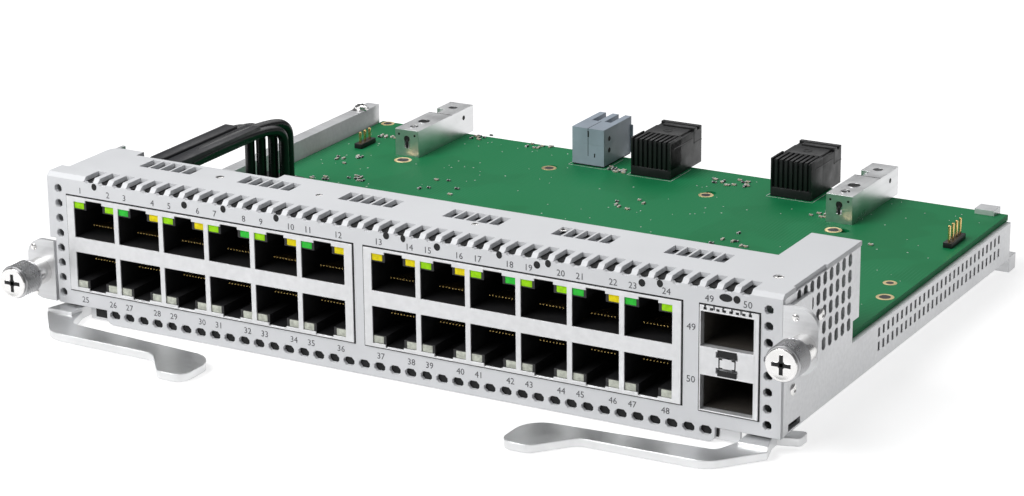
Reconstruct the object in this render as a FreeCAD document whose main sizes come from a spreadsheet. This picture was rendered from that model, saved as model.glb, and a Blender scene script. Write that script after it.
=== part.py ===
"""Switch line card: a folded sheet tray and face plate that carry a circuit board,
two gangs of network jacks, a stacked transceiver cage, ejector levers and captive screws.

Modelled in millimetres.  While it is built, x runs to the right from the face plate's
left edge, y runs back from the plate's front face and z runs up from its lower edge.
At the end every piece is moved so that the origin is under the middle of the whole card.
"""
import FreeCAD, Part
import math
import os
import re
import Sketcher

SIZES = {
    # face plate and roof, one folded sheet
    "panel_width": 209.25, "panel_height": 39.2, "sheet_gauge": 1.2, "panel_bend": 1.1,
    "corner_notch": 3.8, "strip_left": 17.2, "strip_right_inset": 16.85, "strip_corner": 1.8,
    "roof_depth": 26.2, "roof_left_depth": 6.6, "roof_left_inset": 2.4, "roof_tab_width": 9.8,
    "cable_bay_end": 56.5, "cable_bay_depth": 3.4, "roof_corner": 3.0,
    "wing_width": 13.2, "wing_depth": 45.4, "seam_start": 7.0, "seam_length": 18.0, "seam_width": 0.6,
    "ear_notch_width": 1.9, "ear_notch_height": 17.6,
    # vents in the face plate
    "vent_count": 43, "vent_pitch": 4.44, "vent_start": 11.9, "vent_width": 2.8,
    "vent_depth": 6.5, "vent_drop": 1.6, "vent_corner": 0.8,
    "strip_vent_count": 39, "strip_vent_pitch": 4.48, "strip_vent_start": 18.15,
    "strip_vent_width": 3.2, "strip_vent_height": 2.3, "strip_vent_level": 2.7,
    "edge_hole_radius": 1.2, "edge_hole_count": 8, "edge_hole_pitch": 4.06,
    "edge_hole_inset": 3.5, "edge_hole_level": 6.7,
    "louvre_groups": 6, "louvre_group_pitch": 30.5, "louvre_start": 18.7, "louvre_front": 15.0,
    "louvre_depth": 6.4, "louvre_width": 2.7, "louvre_count": 5, "louvre_pitch": 3.3,
    # jacks
    "gang_start": 6.0, "gang_width": 87.5, "gang_gap": 2.8, "gang_bottom": 7.8, "gang_height": 26.15,
    "window_gap": 0.25, "shield_proud": 0.4, "shield_gauge": 0.4, "jack_depth": 31.0,
    "port_count": 6, "port_pitch": 13.97, "port_width": 12.6, "port_height": 9.7,
    "port_rise": 1.2, "row_gap": 4.0, "mouth_height": 7.6, "latch_width": 5.2, "latch_height": 2.5,
    "notch_rise": 0.7,
    "mouth_depth": 21.0, "led_width": 3.0, "led_height": 1.9, "led_depth": 1.2,
    "contact_row": 6.8, "contact_gauge": 0.35, "contact_setback": 3.8, "contact_run": 11.5,
    "contact_rise": 2.4,
    # transceiver cage
    "sfp_left": 188.1, "sfp_width": 15.5, "sfp_bottom": 7.4, "sfp_height": 26.5, "sfp_depth": 40.0,
    "cage_gauge": 0.3, "sfp_mouth_width": 13.6, "sfp_mouth_height": 8.7, "sfp_bar_height": 6.4,
    "sfp_seat": 0.2, "gasket_depth": 2.2, "sfp_plug_depth": 5.5, "sfp_bar_depth": 3.0,
    "latch_window_width": 5.6, "latch_window_height": 1.5, "latch_window_inset": 0.5,
    "finger_count": 6, "finger_pitch": 2.3, "finger_slit": 0.5,
    # tray
    "tray_gauge": 1.0, "tray_floor": 3.4, "tray_depth": 148.5, "tray_front_bay": 9.0,
    "left_wall": 8.5, "left_wall_height": 21.4, "left_lip": 3.0,
    "corner_wall_height": 20.6, "rear_lip_height": 9.0,
    "cheek_end": 45.4, "cheek_step": 41.0, "cheek_step_height": 20.0, "cheek_flange": 4.0,
    "wall_lip": 2.0, "tray_bend": 0.9, "skirt_inset": 6.0, "skirt_gauge": 1.0, "skirt_bottom": 0.4,
    "wall_slot_count": 29, "wall_slot_pitch": 2.93, "wall_slot_start": 57.2, "wall_slot_width": 1.3,
    "wall_slot_height": 2.3, "wall_slot_level": 8.2, "wall_slot_rows": 2, "wall_slot_row_pitch": 3.7,
    "cheek_hole_count": 9, "cheek_hole_pitch": 3.7, "cheek_hole_start": 7.8, "cheek_hole_width": 2.2,
    "cheek_hole_height": 3.2, "cheek_hole_level": 18.3, "cheek_hole_rows": 5,
    "cheek_hole_row_pitch": 4.1,
    "lever_slot_start": 4.2, "lever_slot_length": 6.8, "lever_slot_height": 1.7,
    "foot_width": 4.5, "foot_length": 4.8, "foot_bottom": 0.0,
    "post_front": 139.0, "post_length": 5.0, "post_height": 27.0,
    # board
    "board_top": 15.95, "board_gauge": 1.6, "board_left": 10.0, "board_back": 149.7,
    "board_clearance": 0.3, "board_hole": 1.6,
    "standoff_radius": 2.75, "standoff_bore": 1.3, "screw_radius": 1.2, "screw_head": 2.7,
    "screw_head_height": 1.8,
    # ejector levers, measured from the pivot
    "pivot_inset": 6.05, "pivot_depth": 5.0, "lever_bottom": 0.1, "lever_gauge": 2.1,
    "lever_hub_gauge": 3.1, "lever_neck_out": 2.9, "lever_neck_in": 3.0, "lever_neck_front": 2.5,
    "lever_shoulder": 4.8, "lever_shoulder_front": 9.5, "lever_pad_front": 9.2,
    "lever_arm_start": 5.0, "lever_arm_front": 21.6, "lever_arm_rear": 13.8, "lever_taper": 3.6,
    "lever_hook_neck": 38.0, "lever_hook_start": 46.0, "lever_hook_front": 32.0, "lever_tip": 53.8,
    "lever_heel": 4.0, "lever_heel_rear": 3.4, "lever_jaw": 8.2, "lever_jaw_front": 1.6,
    "lever_jaw_rear": 6.6, "lever_round": 5.0, "lever_edge_round": 1.2,
    "pin_radius": 1.4, "pin_clearance": 0.06, "pin_head": 2.0, "pin_head_height": 0.9,
    # captive screws and their brackets
    "ear_gauge": 1.2, "ear_corner": 5.0, "ear_left_reach": 7.7, "ear_left_bottom": 3.8,
    "ear_right_reach": 8.9, "ear_right_bottom": 20.5, "ear_height": 16.4, "ear_flange": 13.0,
    "screw_left_offset": 3.7, "screw_left_level": 11.6, "screw_right_offset": 5.2,
    "screw_right_level": 27.2,
    "knob_radius": 4.5, "knob_length": 7.5, "knob_start": 4.8, "knob_chamfer": 0.6,
    "knob_bore_gap": 0.3, "knob_bore_depth": 5.0,
    "ferrule_radius": 3.5, "ferrule_neck": 2.5, "shank_radius": 1.6, "shank_tip": 7.0,
    "running_gap": 0.05, "groove_radius": 1.25, "ring_radius": 2.8, "ring_gauge": 0.8,
    "cross_width": 1.1, "cross_length": 5.0, "cross_depth": 1.6,
    # blocks and sockets at the rear edge of the board
    "guide_width": 7.7, "guide_length": 31.7, "guide_height": 7.95, "guide_front": 121.5,
    "guide_left": 31.6, "guide_right_inset": 34.85,
    "guide_hole": 1.4, "guide_slot_width": 1.6,
    "socket_front": 135.5, "socket_length": 20.5, "socket_height": 11.2, "socket_width": 12.2,
    "socket_one": 100.7, "socket_two": 143.9, "grey_left": 81.2, "grey_width": 10.2,
    "grey_front": 137.0, "grey_length": 17.0, "channel_width": 2.2, "channel_depth": 7.5,
    # pin headers, cables
    "header_width": 5.0, "header_length": 10.2, "header_height": 2.5, "header_pin": 0.64,
    "header_pitch": 2.54, "header_rows": 4, "header_pin_height": 6.2,
    "header_left": 15.5, "header_left_front": 121.0, "header_right_inset": 7.4,
    "header_right_front": 115.5,
    "cable_radius": 1.6, "cable_count": 5, "cable_pitch": 4.1, "cable_start": 17.6,
    "plug_margin": 2.4, "front_plug_front": 7.5, "front_plug_length": 8.0, "front_plug_height": 3.8,
    "board_plug_depth": 6.8, "board_plug_middle": 67.5, "board_socket_height": 1.6,
    "board_plug_height": 2.6,
    # parts under and on the board
    "switch_chip": 27.0, "switch_chip_height": 3.0, "phy_chip": 14.0, "phy_chip_height": 1.6,
    "phy_count": 3, "phy_pitch": 45.0, "power_length": 22.0, "power_width": 12.0, "power_height": 6.0,
    "clip_width": 5.6, "clip_gauge": 1.5, "clip_depth": 3.2,
}

doc = FreeCAD.newDocument("switch_line_card")
sheet = doc.addObject("Spreadsheet::Sheet", "Sizes")
for row, (alias, number) in enumerate(SIZES.items(), start=1):
    sheet.set(f"A{row}", alias)
    sheet.set(f"B{row}", str(number))
    sheet.setAlias(f"B{row}", alias)
doc.recompute()

PIECES = {}      # label -> body
PLACES = {}      # label -> placement while it is built


def value(alias):
    """The number in the sheet's cell."""
    return float(sheet.get(alias))


def cells(text):
    """An expression with each alias written as a cell of the sheet."""
    return re.sub(r"[A-Za-z_]\w*", lambda word: f"Sizes.{word.group()}", text)


def bind(thing, prop, text):
    thing.setExpression(prop, cells(text))


def figure(text):
    """What an expression comes to with the sheet's present values."""
    return float(sheet.evalExpression(cells(text)))


# ---------------------------------------------------------------- sketches and features

def new_body(label, place=None):
    body = doc.addObject("PartDesign::Body", label)
    body.Label = label
    PIECES[label] = body
    PLACES[label] = place or FreeCAD.Placement()
    return body


def sketch_on(body, plane, level="0"):
    """A sketch on one of the body's planes, moved to a level along the world axis."""
    sketch = body.newObject("Sketcher::SketchObject", f"{body.Name}_sketch")
    origin = next(item for item in body.Origin.OriginFeatures if item.Role == f"{plane}_Plane")
    sketch.AttachmentSupport = [(origin, "")]
    sketch.MapMode = "FlatFace"
    sign = "-1" if plane == "XZ" else "1"
    bind(sketch, "AttachmentOffset.Base.z", f"{sign}*({level})")
    return sketch


def fix_point(sketch, index, end, across, up):
    for kind, text in (("DistanceX", across), ("DistanceY", up)):
        number = sketch.addConstraint(Sketcher.Constraint(kind, -1, 1, index, end, figure(text)))
        bind(sketch, f"Constraints[{number}]", text)


def polygon(sketch, points):
    """A closed outline with a corner at each (across, up) pair of expressions."""
    first = sketch.GeometryCount
    count = len(points)
    corners = [FreeCAD.Vector(figure(across), figure(up), 0) for across, up in points]
    for k in range(count):
        sketch.addGeometry(Part.LineSegment(corners[k], corners[(k + 1) % count]), False)
    for k in range(count):
        after = first + (k + 1) % count
        sketch.addConstraint(Sketcher.Constraint("Coincident", first + k, 2, after, 1))
    for k, (across, up) in enumerate(points):
        fix_point(sketch, first + k, 1, across, up)
    return sketch


def rectangle(sketch, left, bottom, right, top):
    return polygon(sketch, [(left, bottom), (right, bottom), (right, top), (left, top)])


def circle(sketch, across, up, radius):
    centre = FreeCAD.Vector(figure(across), figure(up), 0)
    index = sketch.addGeometry(Part.Circle(centre, FreeCAD.Vector(0, 0, 1), figure(radius)), False)
    number = sketch.addConstraint(Sketcher.Constraint("Radius", index, figure(radius)))
    bind(sketch, f"Constraints[{number}]", radius)
    fix_point(sketch, index, 3, across, up)
    return sketch


def many_sided(sketch, across, up, radius, sides):
    """A regular outline with that many corners, one flat facing down."""
    turns = [math.radians(360 * (k - 0.5) / sides - 90) for k in range(sides)]
    return polygon(sketch, [(f"{across} + {math.cos(angle):.6f}*({radius})",
                             f"{up} + {math.sin(angle):.6f}*({radius})") for angle in turns])


def cut_corners(sketch, left, bottom, right, top, cut):
    """A rectangle with its four corners cut off, the punched form of the small vents."""
    return polygon(sketch, [
        (f"{left} + {cut}", bottom), (f"{right} - {cut}", bottom),
        (right, f"{bottom} + {cut}"), (right, f"{top} - {cut}"),
        (f"{right} - {cut}", top), (f"{left} + {cut}", top),
        (left, f"{top} - {cut}"), (left, f"{bottom} + {cut}"),
    ])


def on_front_plane(sketch):
    return sketch.AttachmentSupport[0][0].Role == "XZ_Plane"


def pad(body, sketch, length):
    """Adds material from the sketch towards the positive world axis."""
    feature = body.newObject("PartDesign::Pad", f"{body.Name}_pad")
    feature.Profile = sketch
    feature.Reversed = on_front_plane(sketch)
    bind(feature, "Length", length)
    doc.recompute()
    return feature


def pocket(body, sketch, length):
    """Cuts from the sketch towards the positive world axis."""
    before = body.Shape.Volume
    feature = body.newObject("PartDesign::Pocket", f"{body.Name}_pocket")
    feature.Profile = sketch
    feature.Reversed = not on_front_plane(sketch)
    bind(feature, "Length", length)
    doc.recompute()
    if not body.Shape.Volume < before:
        raise RuntimeError(f"{feature.Name} cuts nothing")
    return feature


def turn(body, sketch):
    """Turns the sketch about its own upright axis."""
    feature = body.newObject("PartDesign::Revolution", f"{body.Name}_turned")
    feature.Profile = sketch
    feature.ReferenceAxis = (sketch, ["V_Axis"])
    feature.Angle = 360
    doc.recompute()
    return feature


def repeat(body, features, first, second=None):
    """Repeats features along one or two axes of the first one's sketch: (axis, count, pitch)."""
    pattern = body.newObject("PartDesign::LinearPattern", f"{body.Name}_pattern")
    pattern.Originals = features
    pattern.Refine = False
    for suffix, run in (("", first), ("2", second)):
        if run:
            axis, count, pitch = run
            setattr(pattern, "Direction" + suffix, (features[0].Profile[0], [axis]))
            bind(pattern, "Length" + suffix, f"{pitch}*({count} - 1)")
            bind(pattern, "Occurrences" + suffix, count)
    body.Tip = pattern
    doc.recompute()
    return pattern


def straight_edges(shape, points, axis):
    """Names of the straight edges along an axis whose line passes through a point."""
    names = []
    for number, edge in enumerate(shape.Edges, start=1):
        if edge.Curve.TypeId != "Part::GeomLine":
            continue
        along = edge.Curve.Direction
        if along.cross(axis).Length > 1e-6:
            continue
        if any((edge.Vertexes[0].Point - point).cross(axis).Length < 1e-4 for point in points):
            names.append(f"Edge{number}")
    return names


def ease_edges(body, kind, prop, points, axis, size):
    """Eases the body's straight edges that run along an axis through the points."""
    tip = body.Tip
    names = straight_edges(tip.Shape, points, axis)
    if not names:
        raise RuntimeError(f"{body.Name} has no such edge")
    feature = body.newObject(f"PartDesign::{kind}", f"{body.Name}_{kind.lower()}")
    feature.Base = (tip, names)
    bind(feature, prop, size)
    doc.recompute()


def round_edges(body, points, axis, radius):
    ease_edges(body, "Fillet", "Radius", points, axis, radius)


def flatten_edges(body, points, axis, width):
    ease_edges(body, "Chamfer", "Size", points, axis, width)


def corner(sketch, index):
    """A corner of a sketch in the body's frame."""
    return sketch.Placement.multVec(sketch.getPoint(index, 1))


X_AXIS = FreeCAD.Vector(1, 0, 0)
Y_AXIS = FreeCAD.Vector(0, 1, 0)
Z_AXIS = FreeCAD.Vector(0, 0, 1)


def slab(label, plane, level, length, outline):
    """A body made by one pad of one closed outline."""
    body = new_body(label)
    pad(body, polygon(sketch_on(body, plane, level), outline), length)
    return body


def brick(label, low, high):
    """A rectangular body between two corners, each given as three expressions."""
    outline = [(low[0], low[1]), (high[0], low[1]), (high[0], high[1]), (low[0], high[1])]
    return slab(label, "XY", low[2], f"({high[2]}) - ({low[2]})", outline)


# ---------------------------------------------------------------- places that pieces share

ROOF_UNDER = "panel_height - sheet_gauge"
STRIP_RIGHT = "panel_width - strip_right_inset"
WALL_INSIDE = "panel_width - tray_gauge"
FLOOR_TOP = "tray_floor + tray_gauge"
BOARD_UNDER = "board_top - board_gauge"
BOARD_FRONT = "jack_depth - shield_proud + board_clearance"
JOG_BACK = f"{BOARD_FRONT} + tray_gauge"
BOARD_RIGHT = "panel_width - tray_gauge - board_clearance"
SFP_RIGHT = "sfp_left + sfp_width"
CAGE_LEFT = "sfp_left + sfp_seat"
CAGE_RIGHT = "sfp_left + sfp_seat + sfp_mouth_width + 2*cage_gauge"
CAGE_BOTTOM = "sfp_bottom + sfp_seat"
CAGE_TOP = "sfp_bottom + sfp_seat + 4*cage_gauge + 2*sfp_mouth_height + sfp_bar_height"
CAGE_BACK = "sfp_depth - shield_proud"
LOWER_PORT = "gang_bottom + port_rise"
UPPER_PORT = "gang_bottom + port_rise + port_height + row_gap"
PORT_MARGIN = "(gang_width - port_pitch*(port_count - 1) - port_width)/2"


def gang_left(number):
    return "gang_start" if number == 1 else "gang_start + gang_width + gang_gap"


# ---------------------------------------------------------------- face plate

def front_panel():
    body = new_body("front_panel")
    face = sketch_on(body, "XZ")
    polygon(face, [
        ("strip_left", "0"), (STRIP_RIGHT, "0"), (STRIP_RIGHT, "corner_notch"),
        ("panel_width", "corner_notch"), ("panel_width", "panel_height"), ("0", "panel_height"),
        ("0", "corner_notch + ear_notch_height"),
        ("ear_notch_width", "corner_notch + ear_notch_height"),
        ("ear_notch_width", "corner_notch"), ("strip_left", "corner_notch"),
    ])
    pad(body, face, "sheet_gauge")
    round_edges(body, [corner(face, 0), corner(face, 1)], Y_AXIS, "strip_corner")
    roof = sketch_on(body, "XY", ROOF_UNDER)
    polygon(roof, [
        ("0", "0"), ("panel_width", "0"), ("panel_width", "wing_depth"),
        ("panel_width - wing_width", "wing_depth"), ("panel_width - wing_width", "roof_depth"),
        ("cable_bay_end", "roof_depth"), ("cable_bay_end", "roof_depth - cable_bay_depth"),
        ("roof_left_inset + roof_tab_width", "roof_depth - cable_bay_depth"),
        ("roof_left_inset + roof_tab_width", "roof_depth"), ("roof_left_inset", "roof_depth"),
        ("roof_left_inset", "roof_left_depth"), ("0", "roof_left_depth"),
    ])
    pad(body, roof, "sheet_gauge")
    front_top = FreeCAD.Vector(0, 0, value("panel_height"))
    flatten_edges(body, [front_top], X_AXIS, "panel_bend")
    round_edges(body, [corner(roof, 9)], Z_AXIS, "roof_corner")
    cut_once(body)
    cut_and_repeat(body)


def cut_once(body):
    cage = rectangle(sketch_on(body, "XZ"), "sfp_left", "sfp_bottom",
                     SFP_RIGHT, "sfp_bottom + sfp_height")
    pocket(body, cage, "sheet_gauge")
    seam = rectangle(sketch_on(body, "XY", ROOF_UNDER), "panel_width - seam_width", "seam_start",
                     "panel_width", "seam_start + seam_length")
    pocket(body, seam, "sheet_gauge")
    screw = circle(sketch_on(body, "XY", ROOF_UNDER), ROOF_SCREW[0], ROOF_SCREW[1],
                   "screw_radius + running_gap")
    pocket(body, screw, "sheet_gauge")


def cut_and_repeat(body):
    """The first of each opening is cut before any is repeated, while the sheet is simple."""
    gang = pocket(body, rectangle(
        sketch_on(body, "XZ"), "gang_start", "gang_bottom", "gang_start + gang_width",
        "gang_bottom + gang_height"), "sheet_gauge")
    louvre = pocket(body, rectangle(
        sketch_on(body, "XY", ROOF_UNDER), "louvre_start", "louvre_front",
        "louvre_start + louvre_width", "louvre_front + louvre_depth"), "sheet_gauge")
    edge_hole = pocket(body, many_sided(
        sketch_on(body, "XZ"), "edge_hole_inset", "edge_hole_level", "edge_hole_radius", 8),
        "sheet_gauge")
    strip_vent = pocket(body, cut_corners(
        sketch_on(body, "XZ"), "strip_vent_start", "strip_vent_level - strip_vent_height/2",
        "strip_vent_start + strip_vent_width", "strip_vent_level + strip_vent_height/2",
        "strip_vent_height/3"), "sheet_gauge")
    vent = cut_vent(body)
    repeat(body, [gang], ("H_Axis", "2", "gang_width + gang_gap"))
    repeat(body, [louvre], ("H_Axis", "louvre_count", "louvre_pitch"),
           ("H_Axis", "louvre_groups", "louvre_group_pitch"))
    repeat(body, [edge_hole], ("V_Axis", "edge_hole_count", "edge_hole_pitch"),
           ("H_Axis", "2", "panel_width - 2*edge_hole_inset"))
    repeat(body, [strip_vent], ("H_Axis", "strip_vent_count", "strip_vent_pitch"))
    repeat(body, vent, ("H_Axis", "vent_count", "vent_pitch"))


def cut_vent(body):
    """A vent that runs over the bend, from the top of the face plate on to the roof."""
    right = "vent_start + vent_width"
    low = "panel_height - vent_drop"
    over_face = polygon(sketch_on(body, "XZ"), [
        ("vent_start + vent_corner", low), (f"{right} - vent_corner", low),
        (right, f"{low} + vent_corner"), (right, "panel_height"), ("vent_start", "panel_height"),
        ("vent_start", f"{low} + vent_corner"),
    ])
    over_roof = rectangle(sketch_on(body, "XY", ROOF_UNDER), "vent_start", "0", right, "vent_depth")
    return [pocket(body, over_face, "sheet_gauge"), pocket(body, over_roof, "sheet_gauge")]


ROOF_SCREW = ("panel_width - wing_width/2", "roof_depth/2 - sheet_gauge")


# ---------------------------------------------------------------- tray

def base_tray():
    body = new_body("base_tray")
    floor = sketch_on(body, "XY", "tray_floor")
    polygon(floor, [
        ("tray_gauge", "sheet_gauge"), ("strip_left", "sheet_gauge"),
        ("strip_left", "tray_front_bay"), (STRIP_RIGHT, "tray_front_bay"),
        (STRIP_RIGHT, "sheet_gauge"), ("panel_width", "sheet_gauge"),
        ("panel_width", "tray_depth"), ("left_wall", "tray_depth"),
        ("left_wall", JOG_BACK), ("tray_gauge", JOG_BACK),
    ])
    pad(body, floor, "tray_gauge")
    right_wall(body)
    left_walls(body)
    rear_of_tray(body)
    pivots = sketch_on(body, "XY", "tray_floor")
    circle(pivots, "pivot_inset", "pivot_depth", "pin_radius + pin_clearance")
    circle(pivots, "panel_width - pivot_inset", "pivot_depth", "pin_radius + pin_clearance")
    pocket(body, pivots, "tray_gauge")
    cut_right_wall(body)


def right_wall(body):
    wall = sketch_on(body, "YZ", WALL_INSIDE)
    polygon(wall, [
        ("sheet_gauge", "tray_floor"), ("tray_depth", "tray_floor"),
        ("tray_depth", BOARD_UNDER), ("cheek_step", BOARD_UNDER),
        ("cheek_step", "cheek_step_height"), ("cheek_end", "cheek_step_height"),
        ("cheek_end", ROOF_UNDER), ("sheet_gauge", ROOF_UNDER),
    ])
    pad(body, wall, "tray_gauge")
    outer_bend = FreeCAD.Vector(value("panel_width"), 0, value("tray_floor"))
    round_edges(body, [outer_bend], Y_AXIS, "tray_bend")
    flange = rectangle(sketch_on(body, "XY", "cheek_step_height"),
                       f"{WALL_INSIDE} - cheek_flange", "cheek_end - tray_gauge",
                       WALL_INSIDE, "cheek_end")
    pad(body, flange, f"{ROOF_UNDER} - cheek_step_height")
    outer_edge = FreeCAD.Vector(value("panel_width"), value("cheek_end"), 0)
    round_edges(body, [outer_edge], Z_AXIS, "tray_bend")
    lip = rectangle(sketch_on(body, "XY", f"{BOARD_UNDER} - tray_gauge"),
                    f"{WALL_INSIDE} - wall_lip", "cheek_step", WALL_INSIDE, "tray_depth")
    pad(body, lip, "tray_gauge")


def cut_right_wall(body):
    jaw_slot = rectangle(sketch_on(body, "YZ", WALL_INSIDE), "lever_slot_start", FLOOR_TOP,
                         "lever_slot_start + lever_slot_length", f"{FLOOR_TOP} + lever_slot_height")
    pocket(body, jaw_slot, "tray_gauge")
    oval = pocket(body, cut_corners(
        sketch_on(body, "YZ", WALL_INSIDE), "cheek_hole_start", "cheek_hole_level",
        "cheek_hole_start + cheek_hole_width", "cheek_hole_level + cheek_hole_height",
        "cheek_hole_width/3.4"), "tray_gauge")
    slot = pocket(body, rectangle(
        sketch_on(body, "YZ", WALL_INSIDE), "wall_slot_start",
        "wall_slot_level - wall_slot_height/2", "wall_slot_start + wall_slot_width",
        "wall_slot_level + wall_slot_height/2"), "tray_gauge")
    repeat(body, [oval], ("H_Axis", "cheek_hole_count", "cheek_hole_pitch"),
           ("V_Axis", "cheek_hole_rows", "cheek_hole_row_pitch"))
    repeat(body, [slot], ("H_Axis", "wall_slot_count", "wall_slot_pitch"),
           ("V_Axis", "wall_slot_rows", "wall_slot_row_pitch"))


def left_walls(body):
    main = rectangle(sketch_on(body, "YZ", "left_wall"), JOG_BACK, FLOOR_TOP,
                     "tray_depth", "left_wall_height")
    pad(body, main, "tray_gauge")
    lip = rectangle(sketch_on(body, "XY", "left_wall_height - tray_gauge"),
                    "left_wall - left_lip", JOG_BACK, "left_wall", "tray_depth")
    pad(body, lip, "tray_gauge")
    front = rectangle(sketch_on(body, "YZ", "tray_gauge"), "sheet_gauge", FLOOR_TOP,
                      JOG_BACK, ROOF_UNDER)
    pad(body, front, "tray_gauge")
    jog = rectangle(sketch_on(body, "XY", FLOOR_TOP), "tray_gauge", BOARD_FRONT,
                    "left_wall + tray_gauge", JOG_BACK)
    pad(body, jog, f"corner_wall_height - ({FLOOR_TOP})")
    post = rectangle(sketch_on(body, "YZ", "left_wall"), "post_front", "left_wall_height",
                     "post_front + post_length", "post_height")
    pad(body, post, "tray_gauge")
    cap = rectangle(sketch_on(body, "XY", "post_height - tray_gauge"),
                    "left_wall - left_lip", "post_front", "left_wall", "post_front + post_length")
    pad(body, cap, "tray_gauge")


def rear_of_tray(body):
    lip = rectangle(sketch_on(body, "XZ", "tray_depth - tray_gauge"),
                    "left_wall + tray_gauge", FLOOR_TOP, WALL_INSIDE, "rear_lip_height")
    pad(body, lip, "tray_gauge")
    feet = sketch_on(body, "XY", "foot_bottom")
    rectangle(feet, "left_wall", "tray_depth", "left_wall + foot_width", "tray_depth + foot_length")
    rectangle(feet, "panel_width - foot_width", "tray_depth", "panel_width",
              "tray_depth + foot_length")
    pad(body, feet, f"{FLOOR_TOP} - foot_bottom")
    skirts = sketch_on(body, "XZ", "sheet_gauge")
    rectangle(skirts, "strip_left - skirt_inset", "skirt_bottom", "strip_left + skirt_gauge",
              "tray_floor")
    rectangle(skirts, f"{STRIP_RIGHT} - skirt_gauge", "skirt_bottom",
              f"{STRIP_RIGHT} + skirt_inset", "tray_floor")
    pad(body, skirts, "skirt_gauge")


# ---------------------------------------------------------------- board and what it stands on

STANDOFFS = [
    ("guide_left + guide_width/2 + 1", "guide_front - screw_head - 1"),
    ("grey_left - screw_head - 1", "grey_front - 2*screw_head"),
    ("(socket_one + socket_width + socket_two)/2", "socket_front - 2*screw_head"),
    ("panel_width - guide_right_inset", "guide_front - 2*screw_head"),
    ("gang_start + gang_width + gang_gap/2", "jack_depth + 2*standoff_radius"),
    ("board_left + 2*standoff_radius", "jack_depth + 2*standoff_radius"),
    ("panel_width - 2*wing_width", "sfp_depth + 2*standoff_radius"),
]
SCREWED = STANDOFFS[4:]


def main_board():
    body = new_body("main_board")
    outline = sketch_on(body, "XY", BOARD_UNDER)
    polygon(outline, [
        ("board_left", BOARD_FRONT), ("sfp_left - sfp_seat - 1", BOARD_FRONT),
        ("sfp_left - sfp_seat - 1", f"{CAGE_BACK} + board_clearance"),
        (BOARD_RIGHT, f"{CAGE_BACK} + board_clearance"),
        (BOARD_RIGHT, "board_back"), ("board_left", "board_back"),
    ])
    pad(body, outline, "board_gauge")
    for across, back in STANDOFFS:
        hole = many_sided(sketch_on(body, "XY", BOARD_UNDER), across, back, "board_hole", 12)
        pocket(body, hole, "board_gauge")


def standoffs():
    body = new_body("standoffs")
    for across, back in STANDOFFS:
        ring = many_sided(sketch_on(body, "XY", FLOOR_TOP), across, back, "standoff_radius", 6)
        many_sided(ring, across, back, "standoff_bore", 12)
        pad(body, ring, f"{BOARD_UNDER} - ({FLOOR_TOP})")


def board_screws():
    body = new_body("board_screws")
    for across, back in SCREWED:
        head = many_sided(sketch_on(body, "XY", "board_top"), across, back, "screw_head", 12)
        pad(body, head, "screw_head_height")
        shank = many_sided(sketch_on(body, "XY", f"{BOARD_UNDER} - 3*board_gauge"), across, back,
                           "screw_radius", 12)
        pad(body, shank, "4*board_gauge")


def board_chips():
    chip = ("panel_width/2 - switch_chip/2", "board_back/2")
    brick("switch_chip", (chip[0], chip[1], f"{BOARD_UNDER} - switch_chip_height"),
          (f"{chip[0]} + switch_chip", f"{chip[1]} + switch_chip", BOARD_UNDER))
    phy = new_body("phy_chips")
    first = sketch_on(phy, "XY", f"{BOARD_UNDER} - phy_chip_height")
    rectangle(first, "phy_pitch - phy_chip/2", "board_back/3", "phy_pitch + phy_chip/2",
              "board_back/3 + phy_chip")
    repeat(phy, [pad(phy, first, "phy_chip_height")], ("H_Axis", "phy_count", "phy_pitch"))
    left = "panel_width - 2*power_length"
    brick("power_module", (left, "board_back/2 + power_length", f"{BOARD_UNDER} - power_height"),
          (f"{left} + power_length", "board_back/2 + power_length + power_width", BOARD_UNDER))


# ---------------------------------------------------------------- jacks

def in_each_row(draw):
    """Draws the upper port with up = +1 and the lower one, its mirror image, with -1."""
    draw(UPPER_PORT, "+")
    draw(f"{LOWER_PORT} + port_height", "-")


def jack_shield(number):
    body = new_body(f"jack_shield_{number}")
    left = gang_left(number)
    box = rectangle(sketch_on(body, "XZ", "-1*shield_proud"), f"{left} + window_gap",
                    "gang_bottom + window_gap", f"{left} + gang_width - window_gap",
                    "gang_bottom + gang_height - window_gap")
    pad(body, box, "jack_depth")
    inset = "window_gap + shield_gauge"
    hollow = rectangle(sketch_on(body, "XZ", "shield_gauge - shield_proud"), f"{left} + {inset}",
                       f"gang_bottom + {inset}", f"{left} + gang_width - {inset.replace('+', '-')}",
                       f"gang_bottom + gang_height - {inset.replace('+', '-')}")
    pocket(body, hollow, "jack_depth")
    windows = sketch_on(body, "XZ", "-1*shield_proud")
    port = f"{left} + {PORT_MARGIN}"
    middle = f"{port} + port_width/2"

    def window(base, sign):
        shoulder = f"{base} {sign} port_height"
        notch = f"{shoulder} {sign} notch_rise"
        polygon(windows, [
            (port, base), (f"{port} + port_width", base), (f"{port} + port_width", shoulder),
            (f"{middle} + latch_width/2", shoulder), (f"{middle} + latch_width/2", notch),
            (f"{middle} - latch_width/2", notch), (f"{middle} - latch_width/2", shoulder),
            (port, shoulder),
        ])
    in_each_row(window)
    repeat(body, [pocket(body, windows, "shield_gauge")], ("H_Axis", "port_count", "port_pitch"))


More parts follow.
